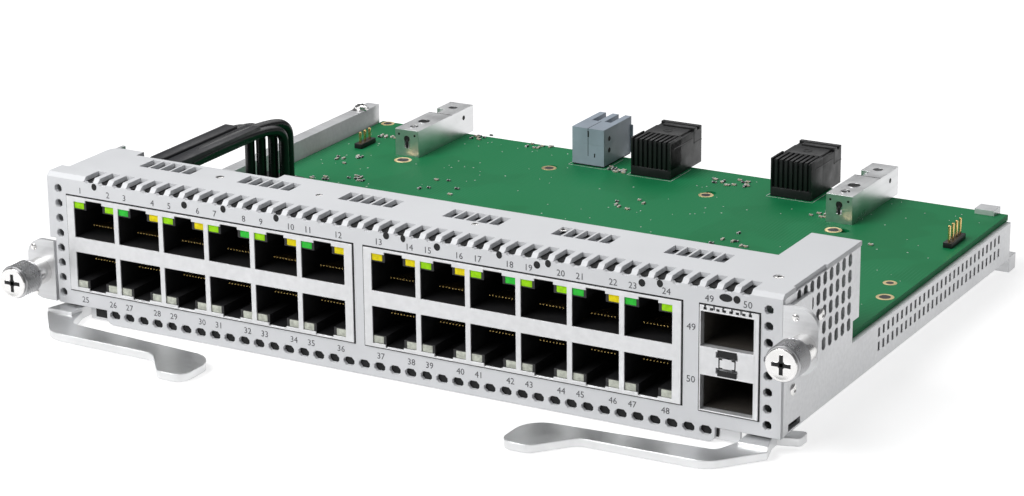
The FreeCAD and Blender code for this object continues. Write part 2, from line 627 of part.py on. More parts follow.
def jack_housing(number):
    body = new_body(f"jack_housing_{number}")
    left = gang_left(number)
    front = "shield_gauge - shield_proud"
    block = rectangle(sketch_on(body, "XZ", front), f"{left} + window_gap + shield_gauge",
                      "gang_bottom + window_gap + shield_gauge",
                      f"{left} + gang_width - window_gap - shield_gauge",
                      "gang_bottom + gang_height - window_gap - shield_gauge")
    pad(body, block, "jack_depth - 2*shield_gauge")
    mouths = sketch_on(body, "XZ", front)
    middle = f"{left} + {PORT_MARGIN} + port_width/2"

    def mouth(base, sign):
        polygon(mouths, [
            (f"{middle} - port_width/2", base), (f"{middle} + port_width/2", base),
            (f"{middle} + port_width/2", f"{base} {sign} mouth_height"),
            (f"{middle} + latch_width/2", f"{base} {sign} mouth_height"),
            (f"{middle} + latch_width/2", f"{base} {sign} mouth_height {sign} latch_height"),
            (f"{middle} - latch_width/2", f"{base} {sign} mouth_height {sign} latch_height"),
            (f"{middle} - latch_width/2", f"{base} {sign} mouth_height"),
            (f"{middle} - port_width/2", f"{base} {sign} mouth_height"),
        ])
    in_each_row(mouth)
    cuts = [pocket(body, mouths, "mouth_depth"), pocket(body, led_sketch(body, number), "led_depth")]
    repeat(body, cuts, ("H_Axis", "port_count", "port_pitch"))


def led_sketch(body, number):
    """Four small windows at the outer corners of one pair of ports."""
    sketch = sketch_on(body, "XZ", "shield_gauge - shield_proud")
    port = f"{gang_left(number)} + {PORT_MARGIN}"

    def pair(base, sign):
        for left in (port, f"{port} + port_width - led_width"):
            low = f"{base} {sign} port_height"
            other = f"{base} {sign} port_height {sign} -1*led_height"
            rectangle(sketch, left, other, f"{left} + led_width", low)
    in_each_row(pair)
    return sketch


def jack_lenses(number):
    body = new_body(f"port_lenses_{number}")
    repeat(body, [pad(body, led_sketch(body, number), "led_depth")],
           ("H_Axis", "port_count", "port_pitch"))


def jack_contacts(number):
    """One sloping row of spring contacts in each port, drawn as wide as its eight wires."""
    body = new_body(f"jack_contacts_{number}")
    sketch = sketch_on(body, "YZ", f"{gang_left(number)} + {PORT_MARGIN} + (port_width - contact_row)/2")
    back = "contact_setback + contact_run"

    def row(base, sign):
        polygon(sketch, [
            ("contact_setback", base), (back, f"{base} {sign} contact_rise"),
            (back, f"{base} {sign} contact_rise {sign} contact_gauge"),
            ("contact_setback", f"{base} {sign} contact_gauge"),
        ])
    in_each_row(row)
    repeat(body, [pad(body, sketch, "contact_row")], ("N_Axis", "port_count", "port_pitch"))


# ---------------------------------------------------------------- transceiver cage

def sfp_cage():
    body = new_body("sfp_cage")
    front = "-1*shield_proud"
    shell = rectangle(sketch_on(body, "XZ", front), CAGE_LEFT, CAGE_BOTTOM, CAGE_RIGHT, CAGE_TOP)
    pad(body, shell, "sfp_depth")
    bays = sketch_on(body, "XZ", front)
    inner = (f"{CAGE_LEFT} + cage_gauge", f"{CAGE_RIGHT} - cage_gauge")
    for bottom, height in sfp_bays():
        rectangle(bays, inner[0], bottom, inner[1], f"{bottom} + {height}")
    pocket(body, bays, "sfp_depth - cage_gauge")


def sfp_bays():
    """Bottom and height of the lower mouth, the middle bay and the upper mouth."""
    lower = f"{CAGE_BOTTOM} + cage_gauge"
    middle = f"{lower} + sfp_mouth_height + cage_gauge"
    upper = f"{middle} + sfp_bar_height + cage_gauge"
    return [(lower, "sfp_mouth_height"), (middle, "sfp_bar_height"), (upper, "sfp_mouth_height")]


def sfp_bar():
    body = new_body("sfp_latch_bar")
    bottom, height = sfp_bays()[1]
    inner = (f"{CAGE_LEFT} + cage_gauge", f"{CAGE_RIGHT} - cage_gauge")
    face = rectangle(sketch_on(body, "XZ", "-1*shield_proud"), inner[0], bottom, inner[1],
                     f"{bottom} + {height}")
    pad(body, face, "sfp_bar_depth")
    windows = sketch_on(body, "XZ", "-1*shield_proud")
    middle = f"({CAGE_LEFT} + {CAGE_RIGHT})/2"
    for low in (f"{bottom} + latch_window_inset",
                f"{bottom} + {height} - latch_window_inset - latch_window_height"):
        rectangle(windows, f"{middle} - latch_window_width/2", low,
                  f"{middle} + latch_window_width/2", f"{low} + latch_window_height")
    pocket(body, windows, "sfp_bar_depth/2")


def sfp_connectors():
    body = new_body("sfp_connectors")
    inner = (f"{CAGE_LEFT} + cage_gauge", f"{CAGE_RIGHT} - cage_gauge")
    back = f"{CAGE_BACK} - cage_gauge"
    blocks = sketch_on(body, "XZ", f"{back} - sfp_plug_depth")
    slots = sketch_on(body, "XZ", f"{back} - sfp_plug_depth")
    for bottom, height in (sfp_bays()[0], sfp_bays()[2]):
        rectangle(blocks, f"{inner[0]} + cage_gauge", bottom, f"{inner[1]} - cage_gauge",
                  f"{bottom} + {height}*2/3")
        rectangle(slots, f"{inner[0]} + 4*cage_gauge", f"{bottom} + {height}/4",
                  f"{inner[1]} - 4*cage_gauge", f"{bottom} + {height}*2/5")
    pad(body, blocks, "sfp_plug_depth")
    pocket(body, slots, "sfp_plug_depth/2")


def sfp_gasket():
    """Spring fingers along the top and right of the cage."""
    body = new_body("sfp_gasket")
    outline = sketch_on(body, "XZ", "-1*shield_proud")
    right = f"{SFP_RIGHT} - cage_gauge/2"
    top = "sfp_bottom + sfp_height - cage_gauge/2"
    polygon(outline, [
        (CAGE_RIGHT, CAGE_BOTTOM), (right, CAGE_BOTTOM), (right, top), (CAGE_LEFT, top),
        (CAGE_LEFT, CAGE_TOP), (CAGE_RIGHT, CAGE_TOP),
    ])
    pad(body, outline, "gasket_depth")
    slit = rectangle(sketch_on(body, "XZ", "-1*shield_proud"), f"{CAGE_LEFT} + finger_pitch/2",
                     f"{CAGE_TOP} + finger_slit/2", f"{CAGE_LEFT} + finger_pitch/2 + finger_slit", top)
    repeat(body, [pocket(body, slit, "gasket_depth/2")], ("H_Axis", "finger_count", "finger_pitch"))


# ---------------------------------------------------------------- ejector levers

def ejector_lever(label, side):
    """A cast lever drawn about its pivot: a claw beside the wall and a hooked arm in front.

    side is 1 for the right lever, whose arm points left, and -1 for its mirror image.
    """
    pivot_x = value("pivot_inset") if side < 0 else value("panel_width") - value("pivot_inset")
    pivot = FreeCAD.Vector(pivot_x, value("pivot_depth"), 0)
    body = new_body(label, FreeCAD.Placement(pivot, FreeCAD.Rotation()))

    def mirrored(points):
        return [(f"{side}*({across})", up) for across, up in points]
    outline = [
        ("lever_neck_out", "0"), ("lever_neck_out", "-1*lever_neck_front"),
        ("lever_shoulder", "-1*lever_shoulder_front"), ("-1*lever_arm_start", "-1*lever_arm_front"),
        ("-1*lever_hook_neck", "-1*lever_arm_front - 0.2*lever_taper"),
        ("-1*lever_hook_start", "-1*lever_hook_front"), ("-1*lever_tip", "-1*lever_hook_front"),
        ("-1*lever_tip", "-1*lever_arm_rear - lever_taper"),
        ("-1*lever_arm_start - lever_edge_round", "-1*lever_arm_rear"),
        ("-1*lever_neck_in", "-1*lever_shoulder_front/2"), ("-1*lever_neck_in", "0"),
        ("-1*lever_heel", "lever_heel_rear"), ("lever_neck_out", "lever_heel_rear + lever_jaw_front"),
        ("lever_jaw", "lever_jaw_rear"), ("lever_jaw", "lever_jaw_front"),
    ]
    sketch = polygon(sketch_on(body, "XY", "lever_bottom"), mirrored(outline))
    pad(body, sketch, "lever_gauge")
    rounds = [(3, "1.6*lever_round"), (4, "lever_round"), (5, "0.7*lever_round"),
              (6, "0.7*lever_round"), (7, "1.4*lever_round"), (8, "0.6*lever_round"),
              (11, "lever_edge_round"), (13, "lever_edge_round"), (14, "lever_edge_round")]
    for index, radius in rounds:
        round_edges(body, [corner(sketch, index)], Z_AXIS, radius)
    hub = sketch_on(body, "XY", "lever_bottom + lever_gauge")
    polygon(hub, mirrored([
        ("lever_neck_out", "lever_heel_rear"), ("lever_neck_out", "-1*lever_neck_front"),
        ("lever_shoulder", "-1*lever_pad_front"), ("-1*lever_neck_out", "-1*lever_pad_front"),
        ("-1*lever_neck_in", "-1*lever_shoulder_front/2"), ("-1*lever_neck_in", "lever_heel_rear"),
    ]))
    pad(body, hub, "lever_hub_gauge - lever_gauge")
    bore = circle(sketch_on(body, "XY", "lever_bottom"), "0", "0", "pin_radius + pin_clearance")
    pocket(body, bore, "lever_hub_gauge")
    recess = circle(sketch_on(body, "XY", "lever_bottom"), "0", "0", "pin_head + 5*pin_clearance")
    pocket(body, recess, "pin_head_height")


def lever_pin(label, side):
    pivot_x = value("pivot_inset") if side < 0 else value("panel_width") - value("pivot_inset")
    body = new_body(label, FreeCAD.Placement(
        FreeCAD.Vector(pivot_x, value("pivot_depth"), 0), FreeCAD.Rotation()))
    section = sketch_on(body, "XY")
    low = "lever_bottom + pin_clearance"
    shoulder = "lever_bottom + pin_head_height - pin_clearance"
    top = f"{FLOOR_TOP} + pin_head_height"
    polygon(section, [
        ("0", low), ("pin_head", low), ("pin_head", shoulder), ("pin_radius", shoulder),
        ("pin_radius", top), ("0", top),
    ])
    turn(body, section)
    PLACES[label] = FreeCAD.Placement(PLACES[label].Base, FreeCAD.Rotation(X_AXIS, 90))


# ---------------------------------------------------------------- captive screws

def screw_place(side):
    if side < 0:
        return FreeCAD.Vector(-value("screw_left_offset"), 0, value("screw_left_level"))
    return FreeCAD.Vector(value("panel_width") + value("screw_right_offset"), 0,
                          value("screw_right_level"))


def screw_bracket(label, side):
    """A bent ear: a plate beside the face plate and a flange back along the tray's wall."""
    body = new_body(label)
    if side < 0:
        inner, outer = "tray_gauge", "-1*ear_left_reach"
        wall, flange = "0", "tray_gauge"
        bottom, centre = "ear_left_bottom", ("-1*screw_left_offset", "screw_left_level")
    else:
        inner, outer = "panel_width", "panel_width + ear_right_reach"
        wall, flange = "panel_width", "panel_width + tray_gauge"
        bottom, centre = "ear_right_bottom", ("panel_width + screw_right_offset", "screw_right_level")
    top = f"{bottom} + ear_height"
    plate = polygon(sketch_on(body, "XZ"), [(inner, bottom), (outer, bottom), (outer, top), (inner, top)])
    pad(body, plate, "ear_gauge")
    round_edges(body, [corner(plate, 1), corner(plate, 2)], Y_AXIS, "ear_corner")
    arm = rectangle(sketch_on(body, "XZ", "ear_gauge"), wall, f"{bottom} + tray_gauge",
                    flange, f"{top} - tray_gauge")
    pad(body, arm, "ear_flange")
    hole = circle(sketch_on(body, "XZ"), centre[0], centre[1], "ferrule_neck + running_gap")
    pocket(body, hole, "ear_gauge")


def screw_ferrule(label, side):
    body = new_body(label, FreeCAD.Placement(screw_place(side), FreeCAD.Rotation()))
    bore = "shank_radius + running_gap"
    polygon(sketch := sketch_on(body, "XY"), [
        (bore, "-1*knob_start"), ("ferrule_radius", "-1*knob_start"), ("ferrule_radius", "0"),
        ("ferrule_neck", "0"), ("ferrule_neck", "ear_gauge"), (bore, "ear_gauge"),
    ])
    turn(body, sketch)


def thumbscrew(label, side):
    body = new_body(label, FreeCAD.Placement(screw_place(side), FreeCAD.Rotation()))
    face = "-1*(knob_start + knob_length)"
    bore = "ferrule_radius + knob_bore_gap"
    bore_end = "-1*(knob_start + knob_bore_depth)"
    groove = ("ear_gauge + running_gap", "ear_gauge + ring_gauge + 3*running_gap")
    section = polygon(sketch_on(body, "XY"), [
        ("0", face), ("knob_radius - knob_chamfer", face), ("knob_radius", f"{face} + knob_chamfer"),
        ("knob_radius", "-1*knob_start"), (bore, "-1*knob_start"), (bore, bore_end),
        ("shank_radius", bore_end), ("shank_radius", groove[0]), ("groove_radius", groove[0]),
        ("groove_radius", groove[1]), ("shank_radius", groove[1]), ("shank_radius", "shank_tip"),
        ("0", "shank_tip"),
    ])
    turn(body, section)
    for across, up in (("cross_width", "cross_length"), ("cross_length", "cross_width")):
        slot = rectangle(sketch_on(body, "XZ", face), f"-1*{across}/2", f"-1*{up}/2",
                         f"{across}/2", f"{up}/2")
        pocket(body, slot, "cross_depth")


def screw_ring(label, side):
    body = new_body(label, FreeCAD.Placement(screw_place(side), FreeCAD.Rotation()))
    near = "ear_gauge + 2*running_gap"
    section = rectangle(sketch_on(body, "XY"), "groove_radius + running_gap", near,
                        "ring_radius", f"{near} + ring_gauge")
    turn(body, section)


# ---------------------------------------------------------------- rear edge of the board

def guide_block(label, left):
    body = new_body(label)
    block = rectangle(sketch_on(body, "XY", "board_top"), left, "guide_front",
                      f"{left} + guide_width", "guide_front + guide_length")
    pad(body, block, "guide_height")
    step = rectangle(sketch_on(body, "YZ", left), "guide_front + guide_length*3/5",
                     "board_top + guide_height*3/4", "guide_front + guide_length*3/4",
                     "board_top + guide_height")
    pocket(body, step, "guide_width/3")
    holes = sketch_on(body, "XY", "board_top")
    for share in ("1/8", "5/6"):
        many_sided(holes, f"{left} + guide_width/2", f"guide_front + guide_length*{share}",
                   "guide_hole", 12)
    pocket(body, holes, "guide_height")
    slot = rectangle(sketch_on(body, "XZ", "guide_front"), f"{left} + guide_width/2 - guide_slot_width/2",
                     "board_top + guide_height/3", f"{left} + guide_width/2 + guide_slot_width/2",
                     "board_top + guide_height*3/4")
    pocket(body, slot, "guide_slot_width")


def backplane_socket(label, left, width, front, length, channels):
    body = new_body(label)
    block = rectangle(sketch_on(body, "XY", "board_top"), left, front, f"{left} + {width}",
                      f"{front} + {length}")
    pad(body, block, "socket_height")
    pitch = f"{width}/{channels}"
    channel = rectangle(sketch_on(body, "XY", "board_top + socket_height - channel_depth"),
                        f"{left} + ({pitch} - channel_width)/2", f"{front} + channel_width",
                        f"{left} + ({pitch} + channel_width)/2", f"{front} + {length}")
    repeat(body, [pocket(body, channel, "channel_depth")], ("H_Axis", str(channels), pitch))


def pin_header(side, left, front):
    brick(f"pin_header_{side}", (left, front, "board_top"),
          (f"{left} + header_width", f"{front} + header_length", "board_top + header_height"))
    body = new_body(f"header_pins_{side}")
    first = f"{left} + (header_width - header_pitch - header_pin)/2"
    near = f"{front} + (header_pitch - header_pin)/2"
    pin = rectangle(sketch_on(body, "XY", "board_top + header_height"), first, near,
                    f"{first} + header_pin", f"{near} + header_pin")
    repeat(body, [pad(body, pin, "header_pin_height")],
           ("H_Axis", "2", "header_pitch"), ("V_Axis", "header_rows", "header_pitch"))


def rear_clip():
    back, low = "board_back", BOARD_UNDER
    slab("rear_clip", "YZ", "panel_width - 2*clip_width + clip_gauge", "clip_width", [
        (f"{back} - clip_depth", f"{low} - clip_gauge"), (f"{back} + clip_gauge", f"{low} - clip_gauge"),
        (f"{back} + clip_gauge", "board_top + clip_gauge"),
        (f"{back} - clip_depth", "board_top + clip_gauge"), (f"{back} - clip_depth", "board_top"),
        (back, "board_top"), (back, low), (f"{back} - clip_depth", low),
    ])


# ---------------------------------------------------------------- jumper cables

CABLE_ROUTE = [(15.5, 35.6), (32.0, 35.6), (47.5, 37.9), (60.8, 36.2), (67.5, 27.0), (67.5, 20.15)]


def rounded_path(points):
    """Straight runs joined by arcs, each as large as its two runs allow."""
    edges, start = [], points[0]
    for before, here, after in zip(points, points[1:], points[2:]):
        back, ahead = before - here, after - here
        half_turn = (math.pi - back.getAngle(ahead)) / 2
        cut = 0.45 * min(back.Length, ahead.Length)
        enter = here + back.normalize() * cut
        leave = here + ahead.normalize() * cut
        inward = (back + ahead).normalize()
        radius = cut / math.tan(half_turn)
        middle = here + inward * (((radius ** 2 + cut ** 2) ** 0.5) - radius)
        print(f"cable bend radius {radius:.1f}")
        edges += [Part.LineSegment(start, enter).toShape(), Part.Arc(enter, middle, leave).toShape()]
        start = leave
    edges.append(Part.LineSegment(start, points[-1]).toShape())
    return Part.Wire(edges)


def jumper_cable(number):
    across = value("cable_start") + value("cable_pitch") * (number - 1)
    path = rounded_path([FreeCAD.Vector(across, y, z) for y, z in CABLE_ROUTE])
    radius = value("cable_radius")
    start = path.Vertexes[0].Point
    turns = [math.radians(45 * k + 22.5) for k in range(9)]
    ring = Part.makePolygon([start + radius * (X_AXIS * math.cos(angle) + Z_AXIS * math.sin(angle))
                             for angle in turns])
    cable = doc.addObject("Part::Feature", f"jumper_cable_{number}")
    cable.Label = cable.Name
    cable.Shape = path.makePipeShell([ring], True, False)
    PIECES[cable.Label] = cable
    PLACES[cable.Label] = FreeCAD.Placement()


def cable_ends():
    left = "cable_start - plug_margin"
    right = "cable_start + cable_pitch*(cable_count - 1) + plug_margin"
    shelf = "gang_bottom + gang_height - window_gap"
    brick("front_cable_plug", (left, "front_plug_front", shelf),
          (right, "front_plug_front + front_plug_length", f"{shelf} + front_plug_height"))
    near = "board_plug_middle - board_plug_depth/2"
    far = "board_plug_middle + board_plug_depth/2"
    middle = "board_top + board_socket_height"
    brick("cable_socket", (left, near, "board_top"), (right, far, middle))
    brick("board_cable_plug", (left, near, middle), (right, far, f"{middle} + board_plug_height"))


# ---------------------------------------------------------------- whole card

def build():
    front_panel()
    base_tray()
    main_board()
    standoffs()
    board_screws()
    board_chips()
    for number in (1, 2):
        jack_shield(number)
        jack_housing(number)
        jack_lenses(number)
        jack_contacts(number)
    sfp_cage()
    sfp_bar()
    sfp_connectors()
    sfp_gasket()
    for name, side in (("left", -1), ("right", 1)):
        ejector_lever(f"ejector_lever_{name}", side)
        lever_pin(f"lever_pin_{name}", side)
        screw_bracket(f"screw_bracket_{name}", side)
        screw_ferrule(f"screw_ferrule_{name}", side)
        thumbscrew(f"thumbscrew_{name}", side)
        screw_ring(f"screw_ring_{name}", side)
    guide_block("guide_block_left", "guide_left")
    guide_block("guide_block_right", "panel_width - guide_right_inset - guide_width")
    backplane_socket("grey_backplane_socket", "grey_left", "grey_width", "grey_front",
                     "grey_length", 2)
    for number, left in ((1, "socket_one"), (2, "socket_two")):
        backplane_socket(f"black_backplane_socket_{number}", left, "socket_width", "socket_front",
                         "socket_length", 3)
    pin_header("left", "header_left", "header_left_front")
    pin_header("right", "panel_width - header_right_inset - tray_gauge", "header_right_front")
    rear_clip()
    for number in range(1, int(value("cable_count")) + 1):
        jumper_cable(number)
    cable_ends()


def check_and_place():
    """Checks every object, then moves the origin under the middle of the card."""
    doc.recompute()
    for thing in doc.Objects:
        if "Invalid" in thing.State or "Error" in thing.State:
            raise RuntimeError(f"{thing.Name} is {thing.State}")
    whole = FreeCAD.BoundBox()
    for label, piece in PIECES.items():
        piece.Placement = PLACES[label]
    doc.recompute()
    for label, piece in PIECES.items():
        if piece.Shape.isNull() or not piece.Shape.isValid():
            raise RuntimeError(f"{label} has no valid shape")
        whole.add(piece.Shape.BoundBox)
    shift = FreeCAD.Placement(FreeCAD.Vector(-whole.Center.x, -whole.Center.y, -whole.ZMin),
                              FreeCAD.Rotation())
    for label, piece in PIECES.items():
        piece.Placement = shift * PLACES[label]
    doc.recompute()


def write_parts():
    os.makedirs("parts", exist_ok=True)
    for label, piece in PIECES.items():
        piece.Shape.exportStep(f"parts/{label}.step")


build()
check_and_place()
write_parts()
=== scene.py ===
import math
import random

import bmesh
import bpy
from mathutils import Matrix, Vector


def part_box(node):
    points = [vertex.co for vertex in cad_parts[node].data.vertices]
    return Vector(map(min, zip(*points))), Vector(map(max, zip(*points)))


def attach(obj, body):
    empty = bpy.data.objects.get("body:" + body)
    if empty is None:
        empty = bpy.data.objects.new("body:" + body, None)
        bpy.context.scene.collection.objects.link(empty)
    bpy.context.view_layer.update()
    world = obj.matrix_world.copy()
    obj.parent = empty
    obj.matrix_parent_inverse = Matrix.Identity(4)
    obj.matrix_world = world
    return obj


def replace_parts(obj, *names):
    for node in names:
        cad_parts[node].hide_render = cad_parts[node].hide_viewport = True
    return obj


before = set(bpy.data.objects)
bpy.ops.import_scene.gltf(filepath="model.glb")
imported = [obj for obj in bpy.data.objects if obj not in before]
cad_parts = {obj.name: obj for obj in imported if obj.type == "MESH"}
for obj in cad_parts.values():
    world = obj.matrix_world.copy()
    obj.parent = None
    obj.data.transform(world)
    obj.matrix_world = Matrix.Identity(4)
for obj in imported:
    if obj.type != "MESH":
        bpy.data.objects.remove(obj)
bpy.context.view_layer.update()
MM = 0.001
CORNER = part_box("front_panel")[0]            # left front bottom corner of the face plate
BOARD_TOP = (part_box("main_board")[1].z - CORNER.z) / MM
rng = random.Random(7)


def at(x, y, z):
    """A point in metres from millimetres right of, behind and above the face plate's corner."""
    return CORNER + Vector((x, y, z)) * MM


def node_box(name):
    """A CAD node's low and high corners in millimetres from the face plate's corner."""
    low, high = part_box(name)
    return (low - CORNER) / MM, (high - CORNER) / MM


# ---------------------------------------------------------------- node materials

class Shader:
    """A small builder for one node material."""

    def __init__(self, name, color, rough=0.5, metal=0.0, **sockets):
        self.material = bpy.data.materials.new(name)
        self.material.use_nodes = True
        self.tree = self.material.node_tree
        self.surface = self.tree.nodes["Principled BSDF"]
        self.surface.inputs["Base Color"].default_value = (*color, 1)
        self.surface.inputs["Roughness"].default_value = rough
        self.surface.inputs["Metallic"].default_value = metal
        for socket, number in sockets.items():
            self.surface.inputs[socket.replace("_", " ")].default_value = number
        self.place = self.add("ShaderNodeTexCoord").outputs["Object"]
        self.height = None

    def add(self, kind, **settings):
        node = self.tree.nodes.new(kind)
        for key, setting in settings.items():
            setattr(node, key, setting)
        return node

    def link(self, source, target):
        self.tree.links.new(source, target)

    def stretched(self, scale):
        """Coordinates scaled unevenly, for grain that runs one way."""
        mapping = self.add("ShaderNodeMapping")
        mapping.inputs["Scale"].default_value = scale
        self.link(self.place, mapping.inputs["Vector"])
        return mapping.outputs["Vector"]

    def noise(self, scale, detail=3.0, place=None):
        node = self.add("ShaderNodeTexNoise")
        node.inputs["Scale"].default_value = scale
        node.inputs["Detail"].default_value = detail
        self.link(place or self.place, node.inputs["Vector"])
        return node.outputs["Fac"]

    def ramp(self, source, stops):
        node = self.add("ShaderNodeValToRGB")
        ramp = node.color_ramp
        while len(ramp.elements) < len(stops):
            ramp.elements.new(0.5)
        for element, (place, color) in zip(ramp.elements, stops):
            element.position = place
            element.color = (*color, 1) if len(color) == 3 else color
        self.link(source, node.inputs["Fac"])
        return node.outputs["Color"]

    def range(self, source, low, high, start=0.3, end=0.7):
        node = self.add("ShaderNodeMapRange")
        for socket, number in (("From Min", start), ("From Max", end), ("To Min", low),
                               ("To Max", high)):
            node.inputs[socket].default_value = number
        self.link(source, node.inputs["Value"])
        return node.outputs["Result"]

    def math(self, kind, first, second=None):
        node = self.add("ShaderNodeMath", operation=kind)
        for socket, source in zip(node.inputs, (first, second)):
            if isinstance(source, (int, float)):
                socket.default_value = source
            elif source is not None:
                self.link(source, socket)
        return node.outputs["Value"]

    def mix(self, share, first, second):
        node = self.add("ShaderNodeMix", data_type="RGBA")
        for socket, source in ((node.inputs["Factor"], share), (node.inputs["A"], first),
                               (node.inputs["B"], second)):
            if isinstance(source, (int, float)):
                socket.default_value = source
            elif isinstance(source, tuple):
                socket.default_value = (*source, 1)
            else:
                self.link(source, socket)
        return node.outputs["Result"]

    def color(self, source):
        self.link(source, self.surface.inputs["Base Color"])
        return self

    def rough(self, source):
        self.link(source, self.surface.inputs["Roughness"])
        return self

    def bump(self, source, depth, strength=1.0):
        """Raises the surface; depth is in metres.  Calls stack."""
        node = self.add("ShaderNodeBump")
        node.inputs["Strength"].default_value = strength
        node.inputs["Distance"].default_value = depth
        self.link(source, node.inputs["Height"])
        if self.height:
            self.link(self.height, node.inputs["Normal"])
        self.height = node.outputs["Normal"]
        self.link(self.height, self.surface.inputs["Normal"])
        return self

    def soft_edges(self, radius):
        """Rounds sharp edges in the shading alone, as a rolled or moulded edge is."""
        node = self.add("ShaderNodeBevel", samples=4)
        node.inputs["Radius"].default_value = radius
        if self.height:
            self.link(self.height, node.inputs["Normal"])
        self.height = node.outputs["Normal"]
        self.link(self.height, self.surface.inputs["Normal"])
        return self


def spread(color, amount):
    """A darker and a lighter form of a colour."""
    return [tuple(max(0.0, min(1.0, part * (1 + side * amount))) for part in color)
            for side in (-1, 1)]


def painted_metal(name, color, rough=0.42):
    """Fine powder paint: an even colour with a faint orange peel."""
    shader = Shader(name, color, rough, 0.0)
    cloud = shader.noise(35.0)
    dark, light = spread(color, 0.025)
    shader.color(shader.ramp(cloud, [(0.3, dark), (0.7, light)]))
    shader.rough(shader.range(shader.noise(220.0), rough - 0.06, rough + 0.08))
    shader.bump(shader.noise(2600.0, 2.0), 0.00003, 0.35)
    return shader.soft_edges(0.00025).material


def plated_metal(name, color, rough, grain=(40.0, 900.0, 900.0), metal=1.0,
                 depth=0.00001, edge=0.0002):
    """Rolled or plated sheet with a faint grain along one axis and small stains."""
    shader = Shader(name, color, rough, metal)
    streak = shader.noise(1.0, 4.0, shader.stretched(grain))
    stain = shader.noise(90.0, 5.0)
    dark, light = spread(color, 0.07)
    shader.color(shader.ramp(shader.math("ADD", shader.math("MULTIPLY", streak, 0.5),
                                         shader.math("MULTIPLY", stain, 0.5)),
                             [(0.35, dark), (0.65, light)]))
    shader.rough(shader.range(stain, rough - 0.07, rough + 0.09))
    shader.bump(streak, depth, 0.4)
    return shader.soft_edges(edge).material


def cast_alloy(name, color, rough=0.36):
    """Tumbled cast alloy: fine pits and soft clouds."""
    shader = Shader(name, color, rough, 1.0)
    cloud = shader.noise(60.0, 5.0)
    dark, light = spread(color, 0.05)
    shader.color(shader.ramp(cloud, [(0.3, dark), (0.7, light)]))
    shader.rough(shader.range(shader.noise(400.0), rough - 0.05, rough + 0.1))
    shader.bump(shader.noise(1800.0, 4.0), 0.00004, 0.4)
    return shader.soft_edges(0.0005).material


def moulded_plastic(name, color, rough=0.5, grain=1800.0, edge=0.00015):
    """Spark-eroded mould texture with a slight change of tone."""
    shader = Shader(name, color, rough, 0.0)
    cloud = shader.noise(120.0)
    dark, light = spread(color, 0.12)
    shader.color(shader.ramp(cloud, [(0.3, dark), (0.7, light)]))
    shader.rough(shader.range(shader.noise(300.0), rough - 0.06, rough + 0.08))
    shader.bump(shader.noise(grain, 2.0), 0.00004, 0.4)
    return shader.soft_edges(edge).material


def solder_mask(name):
    """Green mask over copper: wide pours and fine tracks."""
    shader = Shader(name, (0.014, 0.19, 0.075), 0.55, 0.0, Coat_Weight=0.04, Coat_Roughness=0.3,
                    Specular_IOR_Level=0.12)
    pours = shader.ramp(shader.noise(38.0, 2.0), [(0.46, (0, 0, 0)), (0.5, (1, 1, 1))])
    tracks = []
    for scale in ((620.0, 14.0, 1.0), (14.0, 620.0, 1.0)):
        wave = shader.add("ShaderNodeTexWave", wave_type="BANDS", bands_direction="DIAGONAL")
        wave.inputs["Scale"].default_value = 1.0
        shader.link(shader.stretched(scale), wave.inputs["Vector"])
        tracks.append(shader.ramp(wave.outputs["Fac"], [(0.82, (0, 0, 0)), (0.9, (1, 1, 1))]))
    zone = shader.ramp(shader.noise(26.0, 1.0), [(0.47, (0, 0, 0)), (0.5, (1, 1, 1))])
    lines = shader.mix(zone, tracks[0], tracks[1])
    part = shader.ramp(shader.noise(17.0, 1.0), [(0.5, (0, 0, 0)), (0.56, (1, 1, 1))])
    raised = shader.math("MULTIPLY", lines, part)
    ground = shader.mix(pours, (0.007, 0.208, 0.070), (0.009, 0.228, 0.079))
    shader.color(shader.mix(shader.math("MULTIPLY", raised, 0.5), ground, (0.03, 0.27, 0.12)))
    shader.bump(raised, 0.00004, 0.35)
    return shader.soft_edges(0.0001).material


def lens_plastic(name, color, glow):
    """Clouded lens plastic, with a soft glow where it is lit."""
    shader = Shader(name, color, 0.35, 0.0, Specular_IOR_Level=0.25)
    shader.surface.inputs["Emission Color"].default_value = (*color, 1)
    shader.surface.inputs["Emission Strength"].default_value = glow
    cloud = shader.noise(900.0)
    dark, light = spread(color, 0.18)
    shader.color(shader.ramp(cloud, [(0.35, dark), (0.65, light)]))
    return shader.material


def cable_sleeve(name):
    """Smooth black cable sheath."""
    shader = Shader(name, (0.006, 0.006, 0.007), 0.3, 0.0)
    shader.rough(shader.range(shader.noise(260.0), 0.24, 0.34))
    shader.bump(shader.noise(1500.0, 3.0), 0.00005, 0.3)
    return shader.material


PAINT = painted_metal("panel_paint", (0.80, 0.81, 0.83))
ZINC = plated_metal("tray_zinc", (0.72, 0.725, 0.735), 0.42, metal=0.75)
NICKEL = plated_metal("bright_nickel", (0.80, 0.79, 0.78), 0.2, (400.0, 400.0, 400.0))
TIN = plated_metal("shield_tin", (0.76, 0.765, 0.775), 0.36, (500.0, 60.0, 500.0), metal=0.5)
CAST = cast_alloy("lever_alloy", (0.76, 0.765, 0.77))
MACHINED = plated_metal("machined_alloy", (0.74, 0.745, 0.75), 0.34, (900.0, 30.0, 900.0))
GOLD = plated_metal("gold_plate", (0.90, 0.64, 0.26), 0.25, (300.0, 300.0, 300.0))
COPPER_RING = plated_metal("ring_gold", (0.86, 0.68, 0.36), 0.32, (300.0, 300.0, 300.0))
BLACK = moulded_plastic("black_moulding", (0.007, 0.007, 0.008), 0.46)
JACK_BLACK = moulded_plastic("jack_moulding", (0.012, 0.012, 0.013), 0.5)
GREY = moulded_plastic("grey_moulding", (0.33, 0.39, 0.46), 0.45)
MASK = solder_mask("green_mask")
SLEEVE = cable_sleeve("cable_sleeve")
CHIP = moulded_plastic("chip_epoxy", (0.03, 0.03, 0.032), 0.55)
